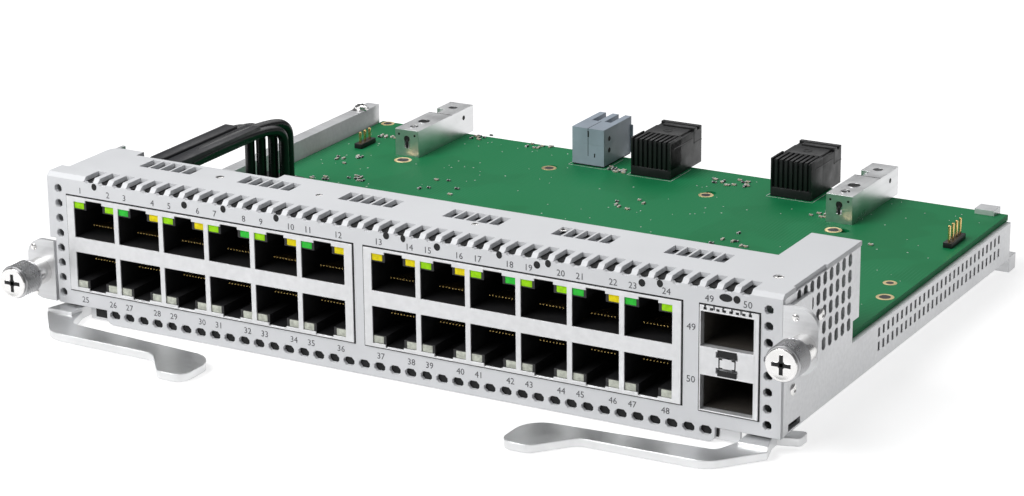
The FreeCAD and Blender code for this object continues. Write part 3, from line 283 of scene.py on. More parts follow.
CERAMIC = moulded_plastic("part_ceramic", (0.52, 0.44, 0.33), 0.5)
WHITE_INK = moulded_plastic("board_ink", (0.80, 0.82, 0.80), 0.6)
DARK_INK = moulded_plastic("panel_ink", (0.10, 0.10, 0.11), 0.6)


# ---------------------------------------------------------------- meshes

def sort_faces(mesh):
    """Puts the faces in the order of their points, because the bevel's own order varies."""
    mesh.verts.index_update()
    count = len(mesh.verts)

    def place(face):
        first, second, third = sorted(vertex.index for vertex in face.verts)[:3]
        return (first * count + second) * count + third

    mesh.faces.sort(key=place)


def piece(name, mesh, material, body="chassis", smooth_angle=math.radians(32)):
    """Turns a bmesh into an object that rides on a body."""
    sort_faces(mesh)
    data = bpy.data.meshes.new(name)
    mesh.to_mesh(data)
    mesh.free()
    made = bpy.data.objects.new(name, data)
    bpy.context.scene.collection.objects.link(made)
    for each in material if isinstance(material, (list, tuple)) else [material]:
        data.materials.append(each)
    data.shade_smooth()
    data.set_sharp_from_angle(angle=smooth_angle)
    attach(made, body)
    return made


def add_block(mesh, low, high, bevel=0.0, index=0):
    """A block between two corners in millimetres, with bevelled edges."""
    size = Vector(high) - Vector(low)
    middle = at(*((Vector(low) + Vector(high)) / 2))
    made = bmesh.ops.create_cube(mesh, size=1.0, matrix=Matrix.Translation(middle)
                                 @ Matrix.Diagonal((*(size * MM), 1)))
    faces = list(dict.fromkeys(face for vertex in made["verts"] for face in vertex.link_faces))
    if bevel:
        edges = list(dict.fromkeys(edge for face in faces for edge in face.edges))
        done = bmesh.ops.bevel(mesh, geom=edges, offset=bevel * MM, segments=2, profile=0.5,
                               affect="EDGES")
        faces += [face for vertex in done["verts"] for face in vertex.link_faces]
    for face in faces:
        if face.is_valid:
            face.material_index = index


AXES = {
    "x": Matrix.Rotation(math.radians(90), 4, "Y"),
    "y": Matrix.Rotation(math.radians(90), 4, "X"),
    "z": Matrix.Identity(4),
}


def add_turned(mesh, centre, axis, profile, segments=32, index=0):
    """A body of revolution: profile is (radius, distance along the axis) in millimetres."""
    toward = Matrix.Translation(at(*centre)) @ AXES[axis]
    sign = -1 if axis == "y" else 1
    rings = []
    for radius, along in profile:
        if radius <= 0:
            rings.append([mesh.verts.new(toward @ Vector((0, 0, sign * along * MM)))])
            continue
        rings.append([mesh.verts.new(toward @ Vector((
            radius * MM * math.cos(2 * math.pi * k / segments),
            radius * MM * math.sin(2 * math.pi * k / segments), sign * along * MM)))
            for k in range(segments)])
    for first, second in zip(rings, rings[1:]):
        for k in range(segments):
            a, b = first[k % len(first)], first[(k + 1) % len(first)]
            c, d = second[(k + 1) % len(second)], second[k % len(second)]
            corners = list(dict.fromkeys((a, b, c, d)))
            if len(corners) > 2:
                mesh.faces.new(corners).material_index = index
    return rings


def finish_mesh(mesh):
    bmesh.ops.recalc_face_normals(mesh, faces=mesh.faces)
    return mesh


# ---------------------------------------------------------------- CAD nodes keep their shapes

NODE_MATERIALS = {
    "front_panel": PAINT, "base_tray": ZINC, "main_board": MASK,
    "screw_bracket_left": ZINC, "screw_bracket_right": ZINC,
    "ejector_lever_left": CAST, "ejector_lever_right": CAST,
    "jack_shield_1": TIN, "jack_shield_2": TIN, "sfp_cage": TIN, "sfp_latch_bar": TIN,
    "sfp_gasket": TIN, "jack_housing_1": JACK_BLACK, "jack_housing_2": JACK_BLACK,
    "jack_contacts_1": GOLD, "jack_contacts_2": GOLD, "header_pins_left": GOLD,
    "header_pins_right": GOLD, "guide_block_left": MACHINED, "guide_block_right": MACHINED,
    "grey_backplane_socket": GREY, "rear_clip": TIN, "switch_chip": CHIP, "phy_chips": CHIP,
    "power_module": CHIP,
}


def dress_nodes():
    """Gives each CAD node its material."""
    for name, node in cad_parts.items():
        chosen = NODE_MATERIALS.get(name)
        if chosen is None:
            bright = any(word in name for word in ("screw", "pin", "standoff", "ferrule"))
            chosen = NICKEL if bright else BLACK
        if name.startswith("jumper_cable"):
            chosen = SLEEVE
        if name.startswith("pin_header"):
            chosen = BLACK
        node.data.materials.clear()
        node.data.materials.append(chosen)
        node.data.shade_smooth()
        node.data.set_sharp_from_angle(angle=math.radians(32))


# ---------------------------------------------------------------- more materials

LENSES = {
    "unlit": lens_plastic("lens_unlit", (0.58, 0.60, 0.52), 0.0),
    "yellow": lens_plastic("lens_yellow", (0.62, 0.52, 0.0), 0.35),
    "lime": lens_plastic("lens_lime", (0.26, 0.58, 0.0), 0.35),
    "green": lens_plastic("lens_green", (0.02, 0.42, 0.03), 0.35),
}
# painted shade: a dark sheet for the insides of the cage's two mouths
CAGE_SHADE_SHEET = moulded_plastic("cage_shade", (0.045, 0.040, 0.034), 0.6)
SHADE = moulded_plastic("deep_shade", (0.006, 0.006, 0.007), 0.7)
FLAT_SLEEVE = moulded_plastic("flat_sleeve", (0.022, 0.022, 0.026), 0.42, 900.0, 0.0004)
# painted shade: a dark metal for the sloping faces of the roof's louvres
RAMP_SHADE = plated_metal("ramp_painted_shade", (0.13, 0.14, 0.155), 0.5, metal=0.3)
# painted shade: a darker copy of the bright nickel, for the knurl, cup and shank beside the lighter
# face
SHADED_KNOB_NICKEL = plated_metal("knob_nickel_shaded", (0.50, 0.50, 0.51), 0.3, (400.0, 400.0, 400.0))
# painted shade: a darker copy of the gold plate, for the contact wires deep in the ports
SHADED_WIRE_GOLD = plated_metal("contact_wire", (0.62, 0.44, 0.16), 0.3, (300.0, 300.0, 300.0))


# ---------------------------------------------------------------- pieces on the face plate

GANG_LEFT = (6.0, 96.3)
PORT_INSET, PORT_PITCH, PORT_WIDTH = 2.525, 13.97, 12.6
UPPER_PORT, LOWER_PORT = (22.7, 32.4), (9.0, 18.7)
LENS_WIDTH, LENS_HEIGHT, LENS_DEPTH = 3.0, 1.9, 1.2
LIT = (
    (("lime", "lime"), ("green", "yellow"), ("lime", "yellow"), ("lime", "green"),
     ("lime", "yellow"), ("green", "yellow")),
    (("yellow", "yellow"), ("lime", "yellow"), ("lime", "green"), ("lime", "lime"),
     ("green", "yellow"), ("green", "lime")),
)


def port_lenses(gang):
    """Lit lenses at the upper ports' outer corners and unlit ones at the lower ports'."""
    mesh = bmesh.new()
    kinds = list(LENSES)
    for port, pair in enumerate(LIT[gang]):
        left = GANG_LEFT[gang] + PORT_INSET + port * PORT_PITCH
        for side, kind in enumerate(pair):
            x = left + side * (PORT_WIDTH - LENS_WIDTH)
            for low, chosen in ((UPPER_PORT[1] - LENS_HEIGHT, kind), (LOWER_PORT[0], "unlit")):
                add_block(mesh, (x, -0.05, low), (x + LENS_WIDTH, LENS_DEPTH, low + LENS_HEIGHT),
                          0.22, kinds.index(chosen))
    made = piece(f"lenses_{gang + 1}", finish_mesh(mesh), [LENSES[kind] for kind in kinds])
    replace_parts(made, f"port_lenses_{gang + 1}")


def contact_wires(gang):
    """Eight sprung wires in each port, which rise from their tips to the back."""
    mesh = bmesh.new()
    for port in range(6):
        middle = GANG_LEFT[gang] + PORT_INSET + port * PORT_PITCH + PORT_WIDTH / 2
        for tip, back in ((25.3, 23.2), (16.1, 18.2)):
            for wire in range(8):
                x = middle + (wire - 3.5) * 0.9
                start, end = Vector((x, 3.8, tip)), Vector((x, 15.3, back))
                run = end - start
                toward = Matrix.Translation(at(*((start + end) / 2))) @ run.to_track_quat(
                    "Z", "Y").to_matrix().to_4x4()
                bmesh.ops.create_cone(mesh, cap_ends=True, segments=6, radius1=0.19 * MM,
                                      radius2=0.19 * MM, depth=run.length * MM, matrix=toward)
                bmesh.ops.create_icosphere(mesh, subdivisions=1, radius=0.27 * MM,
                                           matrix=Matrix.Translation(at(*start)))
    made = piece(f"contact_wires_{gang + 1}", mesh, SHADED_WIRE_GOLD)
    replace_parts(made, f"jack_contacts_{gang + 1}")


def gap_lines():
    """The shadow gaps round the two shielded gangs and the cage."""
    mesh = bmesh.new()
    gap = 0.35
    for node in ("jack_shield_1", "jack_shield_2", "sfp_gasket"):
        low, high = node_box(node)
        x0, x1, z0, z1 = low.x, high.x, low.z, high.z
        for a, b in (((x0 - gap, z0 - gap), (x1 + gap, z0)),
                     ((x0 - gap, z1), (x1 + gap, z1 + gap)),
                     ((x0 - gap, z0), (x0, z1)), ((x1, z0), (x1 + gap, z1))):
            add_block(mesh, (a[0], -0.04, a[1]), (b[0], 0.05, b[1]))
    piece("gap_lines", mesh, SHADE)


# (radius, distance behind the face plate) along a thumbscrew
KNOB_FACE = [(0, -12.2), (3.2, -12.2), (3.45, -12.3), (3.85, -12.3), (4.0, -12.1), (4.0, -11.85),
             (3.7, -11.7)]
KNOB_GROOVE = [(3.7, -11.7), (3.7, -11.5), (4.3, -11.4), (4.45, -11.1), (4.2, -10.9)]
KNOB_CUP_AND_SHANK = [(4.2, -5.9), (4.45, -5.7), (4.4, -5.3), (4.0, -5.0), (3.75, -5.0),
                      (3.7, -10.6), (1.4, -10.6), (1.4, 0.6), (1.1, 0.8), (1.1, 2.6), (1.4, 2.8),
                      (1.4, 6.5), (1.1, 7.0), (0, 7.0)]


def knurled_knob(side, x, z):
    """A thumbscrew: crossed face, diamond knurl, a cup that clears the ferrule, and the shank."""
    mesh = bmesh.new()
    centre = (x, 0, z)
    add_turned(mesh, centre, "y", KNOB_FACE, 48, 2)
    add_turned(mesh, centre, "y", KNOB_GROOVE, 48)
    add_turned(mesh, centre, "y", KNOB_CUP_AND_SHANK, 48)
    count, rows, steps, radius, depth = 30, 6, 24, 4.5, 0.34
    start, length = -10.95, 5.1
    rings = []
    for step in range(steps + 1):
        y = start + length * step / steps
        ring = []
        for k in range(count * 4):
            turn, climb = k / 4, rows * step / steps
            first = abs((turn + climb) % 1 - 0.5) * 2
            second = abs((turn - climb) % 1 - 0.5) * 2
            r = radius - depth * (1 - min(first, second))
            angle = 2 * math.pi * k / (count * 4)
            ring.append(mesh.verts.new(at(x + r * math.cos(angle), y, z + r * math.sin(angle))))
        rings.append(ring)
    for low, high in zip(rings, rings[1:]):
        for k in range(len(low)):
            nxt = (k + 1) % len(low)
            mesh.faces.new((low[k], low[nxt], high[nxt], high[k]))
    # the cross and the centre dot are dark blocks of painted shade on the face, where recesses
    # would be
    for wide, tall in ((2.4, 0.48), (0.48, 2.4)):
        add_block(mesh, (x - wide, -12.26, z - tall), (x + wide, -12.0, z + tall), 0.0, 1)
    add_turned(mesh, centre, "y", [(0, -12.25), (0.95, -12.25), (0.95, -12.1)], 24, 1)
    made = piece(f"knob_{side}", finish_mesh(mesh), [SHADED_KNOB_NICKEL, SHADE, NICKEL], f"screw_{side}",
                 math.radians(24))
    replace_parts(made, f"thumbscrew_{side}")


def add_number(mesh, words, x, level, size, lift=-0.04):
    """Flat figures on the face plate, from Blender's own plain font."""
    curve = bpy.data.curves.new("figures", "FONT")
    curve.body, curve.size, curve.align_x, curve.resolution_u = words, size * MM, "CENTER", 2
    holder = bpy.data.objects.new("figures", curve)
    bpy.context.scene.collection.objects.link(holder)
    flat = bpy.data.meshes.new_from_object(holder)
    flat.transform(Matrix.Translation(at(x, lift, level))
                   @ Matrix.Rotation(math.radians(90), 4, "X"))
    mesh.from_mesh(flat)
    bpy.data.objects.remove(holder)
    bpy.data.meshes.remove(flat)


NUMBER_SIZE, CAGE_NUMBER_SIZE = 2.3, 2.4
UPPER_LINE, LOWER_LINE = 34.7, 4.9           # where the figures stand


def panel_numbers():
    """Plain figures over the upper ports and under the lower ones, and at the cage."""
    mesh = bmesh.new()
    for gang in (0, 1):
        for place in range(12):
            port, side = divmod(place, 2)
            x = GANG_LEFT[gang] + PORT_INSET + port * PORT_PITCH + (2.0, PORT_WIDTH - 1.8)[side]
            add_number(mesh, str(gang * 12 + place + 1), x, UPPER_LINE, NUMBER_SIZE)
            add_number(mesh, str(gang * 12 + place + 25), x, LOWER_LINE, NUMBER_SIZE)
    for words, x, level in (("49", 186.0, 27.0), ("50", 186.0, 14.0),
                            ("49", 190.6, UPPER_LINE), ("50", 200.4, UPPER_LINE)):
        add_number(mesh, words, x, level, CAGE_NUMBER_SIZE)
    piece("panel_numbers", mesh, DARK_INK)


LOUVRE_GROUPS, LOUVRES = 6, 5
LOUVRE_START, LOUVRE_GROUP_PITCH, LOUVRE_PITCH = 18.7, 30.5, 3.3


def vent_shades():
    """Painted shade: a dark sheet behind the vents, the windows in the roof and the holes in the
    right wall.
    """
    mesh = bmesh.new()
    right = node_box("front_panel")[1].x
    inner, outer = right - 1.35, right - 1.2
    add_block(mesh, (8.0, 1.3, 37.75), (204.0, 22.0, 37.9))
    add_block(mesh, (13.0, 0.92, 1.2), (193.0, 1.0, 4.4))
    add_block(mesh, (inner, 1.5, 3.5), (outer, 22.5, 37.6))
    add_block(mesh, (inner, 24.5, 3.5), (outer, 147.0, 13.6))
    piece("vent_shades", mesh, SHADE)
    # painted shade on the sloping faces of the roof's louvre windows
    mesh = bmesh.new()
    for group in range(LOUVRE_GROUPS):
        for place in range(LOUVRES):
            x = LOUVRE_START + group * LOUVRE_GROUP_PITCH + place * LOUVRE_PITCH
            corners = [(x + 0.1, 15.2, 38.9), (x + 2.5, 15.2, 38.7),
                       (x + 1.9, 19.6, 37.95), (x - 0.5, 19.6, 37.95)]
            mesh.faces.new([mesh.verts.new(at(*corner)) for corner in corners])
    piece("louvre_ramps", finish_mesh(mesh), RAMP_SHADE)


# (x, z, half width) of the small marks under the vents
MARKS = ((15.1, 37.1, 0.8), (43.2, 36.4, 0.9), (55.1, 37.1, 0.8), (71.0, 37.1, 0.8),
         (103.1, 37.4, 0.9), (107.9, 37.4, 0.7), (117.5, 36.7, 0.9), (134.8, 37.4, 0.8),
         (145.1, 36.5, 0.9), (148.1, 37.3, 0.8), (173.1, 36.5, 0.9), (177.8, 37.1, 0.8),
         (194.8, 36.3, 1.7), (197.6, 36.3, 0.9))


def panel_marks():
    """Small flat ovals above the ports."""
    mesh = bmesh.new()
    corners, tall = 14, 0.95
    for x, z, wide in MARKS:
        ring = [mesh.verts.new(at(x + wide * math.cos(turn), -0.05, z + tall * math.sin(turn)))
                for turn in (2 * math.pi * k / corners for k in range(corners))]
        mesh.faces.new(ring)
    piece("panel_marks", finish_mesh(mesh), SHADE)


def flat_screw(mesh, x, y, level, radius):
    """A countersunk head let into the roof, with its cross."""
    add_turned(mesh, (x, y, level), "z",
               [(radius + 0.25, 0.0), (radius + 0.2, 0.03), (radius, 0.02), (radius - 0.1, 0.08),
                (0, 0.1)], 28)
    # the cross is a dark block of painted shade where a recess would be
    for wide, tall in ((radius * 0.6, 0.16), (0.16, radius * 0.6)):
        add_block(mesh, (x - wide, y - tall, level), (x + wide, y + tall, level + 0.13), 0.0, 1)


def small_fasteners():
    """Flat heads in the roof, round heads on the right wall and rivets on the ears."""
    mesh = bmesh.new()
    corner = node_box("front_panel")[1]
    for x, y, radius in ((202.9, 11.5, 1.0), (42.8, 16.8, 0.9), (73.8, 15.6, 0.7),
                         (120.5, 13.3, 0.7), (141.8, 19.2, 0.8)):
        flat_screw(mesh, x, y, corner.z, radius)
    for y, z in ((6.5, 14.1), (21.8, 27.8)):
        add_turned(mesh, (corner.x, y, z), "x",
                   [(1.5, 0.0), (1.5, 0.15), (1.2, 0.4), (0.7, 0.5), (0.6, 0.3), (0, 0.3)], 28)
    for x, z in ((-5.6, 17.8), (-5.6, 5.4), (212.4, 34.4), (212.4, 22.6)):
        add_turned(mesh, (x, 0, z), "y", [(0.9, 0.0), (0.85, -0.2), (0.5, -0.4), (0, -0.45)], 24)
    piece("small_fasteners", finish_mesh(mesh), [NICKEL, SHADE])


def cage_dressing():
    """Painted shade in the two-mouth cage: dark sheets inside both mouths, and dark blocks in the
    latch windows, round the spring tabs and in the slots of the strip.
    """
    shade_sheets = bmesh.new()
    x0, x1, front, back, thick = 188.75, 202.05, 1.4, 24, 0.06
    for low, high in ((8.1, 16.4), (23.8, 32.1)):
        for a, b in (((x0, low), (x0 + thick, high)), ((x1 - thick, low), (x1, high)),
                     ((x0, low), (x1, low + thick)), ((x0, high - thick), (x1, high))):
            add_block(shade_sheets, (a[0], front, a[1]), (b[0], back, b[1]))
    piece("cage_painted_shade", shade_sheets, CAGE_SHADE_SHEET)
    # painted shade: dark blocks in the latch bar's windows, round its spring tabs and in the
    # strip's slots
    dark = bmesh.new()
    face = node_box("sfp_latch_bar")[0].y - 0.03
    for z0, z1 in ((21.7, 23.3), (16.9, 18.3)):
        add_block(dark, (193.0, face, z0), (198.0, face + 0.1, z1))
    for x, turn in ((193.3, 1), (197.4, -1)):
        add_block(dark, (x, face, 18.8), (x + 0.3, face + 0.1, 21.3))
        start, end = sorted((x, x + turn * 0.7))
        for z in (18.8, 21.0):
            add_block(dark, (start, face, z), (end + 0.3, face + 0.1, z + 0.3))
    strip = node_box("sfp_gasket")[0].y - 0.03
    for k in range(8):
        add_block(dark, (189.3 + 1.65 * k, strip, 32.75), (190.1 + 1.65 * k, strip + 0.1, 33.35))
    piece("cage_window_shade", dark, SHADE)


# ---------------------------------------------------------------- jumper cables

# each cable: its place in the sleeves, then where it comes down, and how high it goes
CABLES = (
    (17.4, 17.0, 68.5, 37.5), (18.8, 19.4, 70.5, 37.6), (22.6, 24.3, 77.0, 37.7),
    (21.8, 22.2, 72.2, 37.6), (24.2, 25.6, 72.5, 37.2),
)


def jumper_cables():
    """Five smooth cables from the jacks' roof down to the board, with sleeves, plug and socket."""
    for number, (x, end_x, drop, crown) in enumerate(CABLES, 1):
        curve = bpy.data.curves.new(f"cable_{number}", "CURVE")
        curve.dimensions, curve.bevel_depth, curve.bevel_resolution = "3D", 1.4 * MM, 4
        curve.use_fill_caps, curve.resolution_u = True, 16
        spline = curve.splines.new("NURBS")
        start = 17.6 + 4.1 * (number - 1)
        points = ((start, 14.5, 35.6), (start, 19.0, 35.6), (x, 25.0, 36.0), (x, 33.0, crown),
                  (x, drop - 13.0, crown), (end_x, drop, crown - 1.5), (end_x, drop, 28.0),
                  (end_x, drop, 19.6))
        spline.points.add(len(points) - 1)
        for point, place in zip(spline.points, points):
            point.co = (*at(*place), 1)
        spline.order_u = 3
        spline.use_endpoint_u = True
        made = bpy.data.objects.new(f"cable_{number}", curve)
        bpy.context.scene.collection.objects.link(made)
        curve.materials.append(SLEEVE)
        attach(made, "chassis")
        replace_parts(made, f"jumper_cable_{number}")
    mesh = bmesh.new()
    add_block(mesh, (15.7, 23.6, 35.75), (19.9, 59.0, 39.15), 0.5)
    add_block(mesh, (20.7, 23.6, 35.45), (25.4, 62.0, 38.85), 0.3)
    piece("flat_sleeves", finish_mesh(mesh), FLAT_SLEEVE)
    mesh = bmesh.new()
    add_block(mesh, (15.2, 64.4, 17.55), (27.8, 79.2, 20.15), 0.25)
    for y in (68.5, 72.5, 76.5):
        add_block(mesh, (15.0, y - 0.6, 17.9), (15.25, y + 0.6, 19.4), 0.05)
    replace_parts(piece("board_plug", finish_mesh(mesh), BLACK), "board_cable_plug")
    mesh = bmesh.new()
    add_block(mesh, (15.0, 64.1, BOARD_TOP), (28.0, 79.5, 17.6), 0.15)
    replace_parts(piece("board_socket", finish_mesh(mesh), BLACK), "cable_socket")


# ---------------------------------------------------------------- pieces on the tray and the board

def lowered_tray():
    """The tray with its rear left post no taller than the end of its wall."""
    mesh = bmesh.new()
    mesh.from_mesh(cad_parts["base_tray"].data)
    wall_top = 21.4
    corner = at(10.2, 130.0, wall_top)
    for vertex in mesh.verts:
        if vertex.co.x < corner.x and vertex.co.y > corner.y and vertex.co.z > corner.z:
            vertex.co.z = corner.z
    made = piece("tray", mesh, ZINC)
    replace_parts(made, "base_tray")
    mesh = bmesh.new()
    x, y = 7.5, 141.5
    add_turned(mesh, (x, y, wall_top), "z",
               [(2.3, 0.0), (2.3, 0.25), (1.9, 0.3), (1.85, 0.9), (1.2, 1.25), (0, 1.35)], 32)
    # the cross is a dark block of painted shade where a recess would be
    for wide, tall in ((1.1, 0.22), (0.22, 1.1)):
        add_block(mesh, (x - wide, y - tall, 22.0), (x + wide, y + tall, 22.8), 0.0, 1)
    piece("post_screw", finish_mesh(mesh), [NICKEL, SHADE])


def header(side, x, y, count, pitch, length, tall):
    """One row of square pins in a low block."""
    mesh = bmesh.new()
    add_block(mesh, (x, y, BOARD_TOP), (x + 2.5, y + length, BOARD_TOP + 1.5), 0.15)
    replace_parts(piece(f"header_{side}", finish_mesh(mesh), BLACK), f"pin_header_{side}")
    mesh = bmesh.new()
    first = y + (length - pitch * (count - 1)) / 2
    for pin in range(count):
        middle = first + pin * pitch
        add_block(mesh, (x + 0.93, middle - 0.32, BOARD_TOP + 1.2),
                  (x + 1.57, middle + 0.32, BOARD_TOP + tall), 0.12)
    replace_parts(piece(f"pins_{side}", finish_mesh(mesh), GOLD), f"header_pins_{side}")


def black_socket(number):
    """A closed block with ribs over its front, a raised plate and a rear bar."""
    low, high = node_box(f"black_backplane_socket_{number}")
    x0, x1, y0, y1 = low.x, high.x, low.y, high.y
    mesh = bmesh.new()
    add_block(mesh, (x0, y0 + 0.7, BOARD_TOP), (x1, y1, 26.2), 0.12)
    add_block(mesh, (x0, y0, BOARD_TOP), (x1, y0 + 0.9, 18.6), 0.1)
    add_block(mesh, (x0, y0, 18.4), (x0 + 0.55, y0 + 7.6, 26.9), 0.08)
    add_block(mesh, (x1 - 0.55, y0, 18.4), (x1, y0 + 7.6, 26.9), 0.08)
    for rib in range(7):
        x = x0 + 1.25 + rib * 1.48
        add_block(mesh, (x, y0 + 0.05, 18.4), (x + 0.82, y0 + 7.6, 26.8), 0.1)
    add_block(mesh, (x0 + 0.5, y0 + 7.8, 26.1), (x1 - 0.9, y0 + 15.2, 26.75), 0.12)
    add_turned(mesh, ((x0 + x1) / 2, y0 + 11.2, 26.75), "z",
               [(1.3, 0.0), (1.3, 0.12), (1.0, 0.12), (1.0, 0.0)], 24)
    add_block(mesh, (x0 + 2.2, y0 + 15.6, 26.1), (x1, y0 + 17.4, high.z), 0.15)
    add_block(mesh, (x0, y1 - 1.5, 26.1), (x1, y1, 26.9), 0.12)
    for side in (x0 - 0.06, x1 - 0.1):
        add_block(mesh, (side, y0 + 3.0, 24.2), (side + 0.16, y0 + 14.5, 24.5))
        add_block(mesh, (side, y1 - 5.0, 22.6), (side + 0.16, y1 - 4.7, 26.0))
        add_block(mesh, (side, y1 - 5.0, 22.6), (side + 0.16, y1, 22.9))
    made = piece(f"black_socket_{number}", finish_mesh(mesh), BLACK)
    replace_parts(made, f"black_backplane_socket_{number}")


def grey_socket():
    """A closed block with two slots that open at the back, and a seam down its front."""
    low, high = node_box("grey_backplane_socket")
    x0, x1, y0, y1, top = low.x, high.x, low.y, high.y, high.z
    split = y0 + 8.2
    mesh = bmesh.new()
    # painted shade: the inset foot under the block is dark
    add_block(mesh, (x0 + 0.2, y0 + 0.2, BOARD_TOP), (x1 - 0.2, y1 - 0.2, 16.6), 0, 1)
    add_block(mesh, (x0, y0, 16.4), (x1, y1, 22.5))
    add_block(mesh, (x0, y0, 22.5), (x1, split, top))
    for a, b in ((x0, x0 + 2.0), (x0 + 4.1, x0 + 6.1), (x0 + 8.2, x1)):
        add_block(mesh, (a, split, 22.5), (b, y1, top))
    # painted shade: a dark floor under the slots
    add_block(mesh, (x0 + 2.0, split, 22.4), (x0 + 8.2, y1 - 0.8, 22.56), 0, 1)
    add_block(mesh, (x1 - 0.2, y1 - 0.4, 16.4), (x1 + 0.5, y1 + 0.3, 24.6), 0.1)
    seam = x0 + 5.0
    add_block(mesh, (seam, y0 - 0.03, 19.0), (seam + 0.14, y0 + 0.1, top), 0, 1)
    add_block(mesh, (seam - 0.1, y0 - 0.04, 24.6), (seam + 0.35, y0 + 0.1, 26.4), 0, 1)
    add_block(mesh, (seam, y0, top - 0.1), (seam + 0.14, split, top + 0.03), 0, 1)
    add_block(mesh, (x0 + 7.0, y0 - 0.03, 18.8), (x0 + 7.35, y0 + 0.1, 20.0), 0, 1)
    for z in (24.0, 20.6):
        add_turned(mesh, (x1, y0 + 3.2, z), "x", [(0.75, 0.03), (0, 0.05)], 16, 1)
    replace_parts(piece("grey_socket", finish_mesh(mesh), [GREY, SHADE]), "grey_backplane_socket")


def guide_marks():
    """Painted shade for the drilled holes, the latch line and the keyhole of the two guide blocks:
    dark discs and lines, with machined rims round the holes.
    """
    mesh = bmesh.new()
    for node in ("guide_block_left", "guide_block_right"):
        low, high = node_box(node)
        middle, top, front = (low.x + high.x) / 2, high.z, low.y
        for y, radius in ((3.2, 0.75), (9.8, 1.75)):
            hole = (middle, front + y, top)
            add_turned(mesh, hole, "z", [(radius, 0.02), (0, 0.03)], 28)
            add_turned(mesh, hole, "z", [(radius + 0.35, 0.0), (radius + 0.3, 0.1), (radius, 0.1),
                                         (radius, 0.0)], 28, 1)
        add_block(mesh, (low.x, front + 19.0, top - 0.02), (high.x, front + 19.2, top + 0.03))
        add_turned(mesh, (middle, front, low.z + 5.2), "y", [(0.95, -0.03), (0, -0.04)], 24)
        add_block(mesh, (middle - 0.35, front - 0.04, low.z + 2.4),
                  (middle + 0.35, front + 0.1, low.z + 5.0))
        for x in (-2.6, 2.6):
            add_turned(mesh, (middle + x, front, low.z + 6.4), "y", [(0.35, -0.03), (0, -0.04)], 14)
        add_turned(mesh, (high.x, front + 26.0, low.z + 5.4), "x", [(0.7, 0.03), (0, 0.04)], 18)
    piece("guide_marks", finish_mesh(mesh), [SHADE, MACHINED])


# (x, y, radius) of the ringed holes, then (x, y, how many, reach) of the groups of small parts
RINGED_HOLES = ((36.3, 117.7, 1.7), (77.3, 130.2, 1.3), (128.0, 127.8, 1.3), (171.6, 115.5, 1.5),
                (12.7, 148.0, 1.2), (204.8, 71.8, 1.5), (201.7, 82.4, 1.0))
PART_GROUPS = (
    (25.7, 90, 9, 4.0), (34.7, 97, 8, 3.5), (21.5, 110, 8, 4.0), (19.8, 136, 7, 3.0),
    (44, 148, 7, 3.0), (64, 148, 7, 3.5), (95, 136, 12, 3.0), (132, 141, 8, 3.0),
    (126, 140, 7, 3.0), (163, 126, 8, 3.0), (60, 100, 6, 6.0), (150, 95, 7, 7.0),
    (180, 105, 8, 5.0), (110, 110, 6, 7.0), (88, 75, 6, 7.0), (185, 60, 8, 6.0),
)
FLECKS = 240


def board_details():
    """Ringed holes, small soldered parts, vias and the outlines printed round the sockets."""
    mesh = bmesh.new()
    ink, dark, gold, pale = 0, 1, 2, 3
    for x, y, radius in RINGED_HOLES:
        hole = (x, y, BOARD_TOP)
        add_turned(mesh, hole, "z", [(radius + 0.85, 0.0), (radius + 0.8, 0.05), (radius, 0.05),
                                     (radius, 0.0)], 32, gold)
        # painted shade: a dark disc in the chip colour fills each hole's centre
        add_turned(mesh, hole, "z", [(radius, 0.03), (0, 0.03)], 32, dark)
    for cx, cy, many, reach in PART_GROUPS:
        for _ in range(many):
            x, y = cx + rng.uniform(-reach, reach), cy + rng.uniform(-reach, reach)
            long, wide = rng.choice(((1.3, 0.65), (0.65, 1.3), (1.0, 0.5)))
            add_block(mesh, (x, y, BOARD_TOP), (x + long, y + wide, BOARD_TOP + 0.45), 0.05,
                      rng.choice((pale, pale, dark)))
            along = long > wide
            for end in (0, 1):
                a = (x + end * (long - 0.25), y) if along else (x, y + end * (wide - 0.25))
                b = (a[0] + 0.25, y + wide) if along else (x + long, a[1] + 0.25)
                add_block(mesh, (*a, BOARD_TOP), (*b, BOARD_TOP + 0.48), 0, ink)
    for _ in range(FLECKS):
        x, y = rng.uniform(13, 204), rng.uniform(34, 147)
        size = rng.uniform(0.2, 0.42)
        add_block(mesh, (x, y, BOARD_TOP), (x + size, y + size, BOARD_TOP + 0.03), 0, ink)
    for node in ("black_backplane_socket_1", "black_backplane_socket_2", "grey_backplane_socket"):
        low, high = node_box(node)
        for a, b in (((low.x - 0.9, low.y - 0.9), (high.x + 0.9, low.y - 0.75)),
                     ((low.x - 0.9, low.y - 0.9), (low.x - 0.75, 147.5)),
                     ((high.x + 0.75, low.y - 0.9), (high.x + 0.9, 147.5))):
            add_block(mesh, (*a, BOARD_TOP), (*b, BOARD_TOP + 0.03), 0, ink)
    piece("board_details", finish_mesh(mesh), [WHITE_INK, CHIP, COPPER_RING, CERAMIC])


def add_pieces():
    """Everything that is made here and not in CAD."""
    for gang in (0, 1):
        port_lenses(gang)
        contact_wires(gang)
        black_socket(gang + 1)
    gap_lines()
    knurled_knob("left", -3.7, 11.6)
    knurled_knob("right", 214.45, 27.2)
    panel_numbers()
    vent_shades()
    panel_marks()
    small_fasteners()
    cage_dressing()
    jumper_cables()
    lowered_tray()
    header("left", 17.6, 121.3, 3, 2.54, 8.0, 4.7)
    header("right", 202.9, 115.0, 4, 2.54, 10.2, 5.9)
    grey_socket()
    guide_marks()
    board_details()


# ---------------------------------------------------------------- camera, light and floor

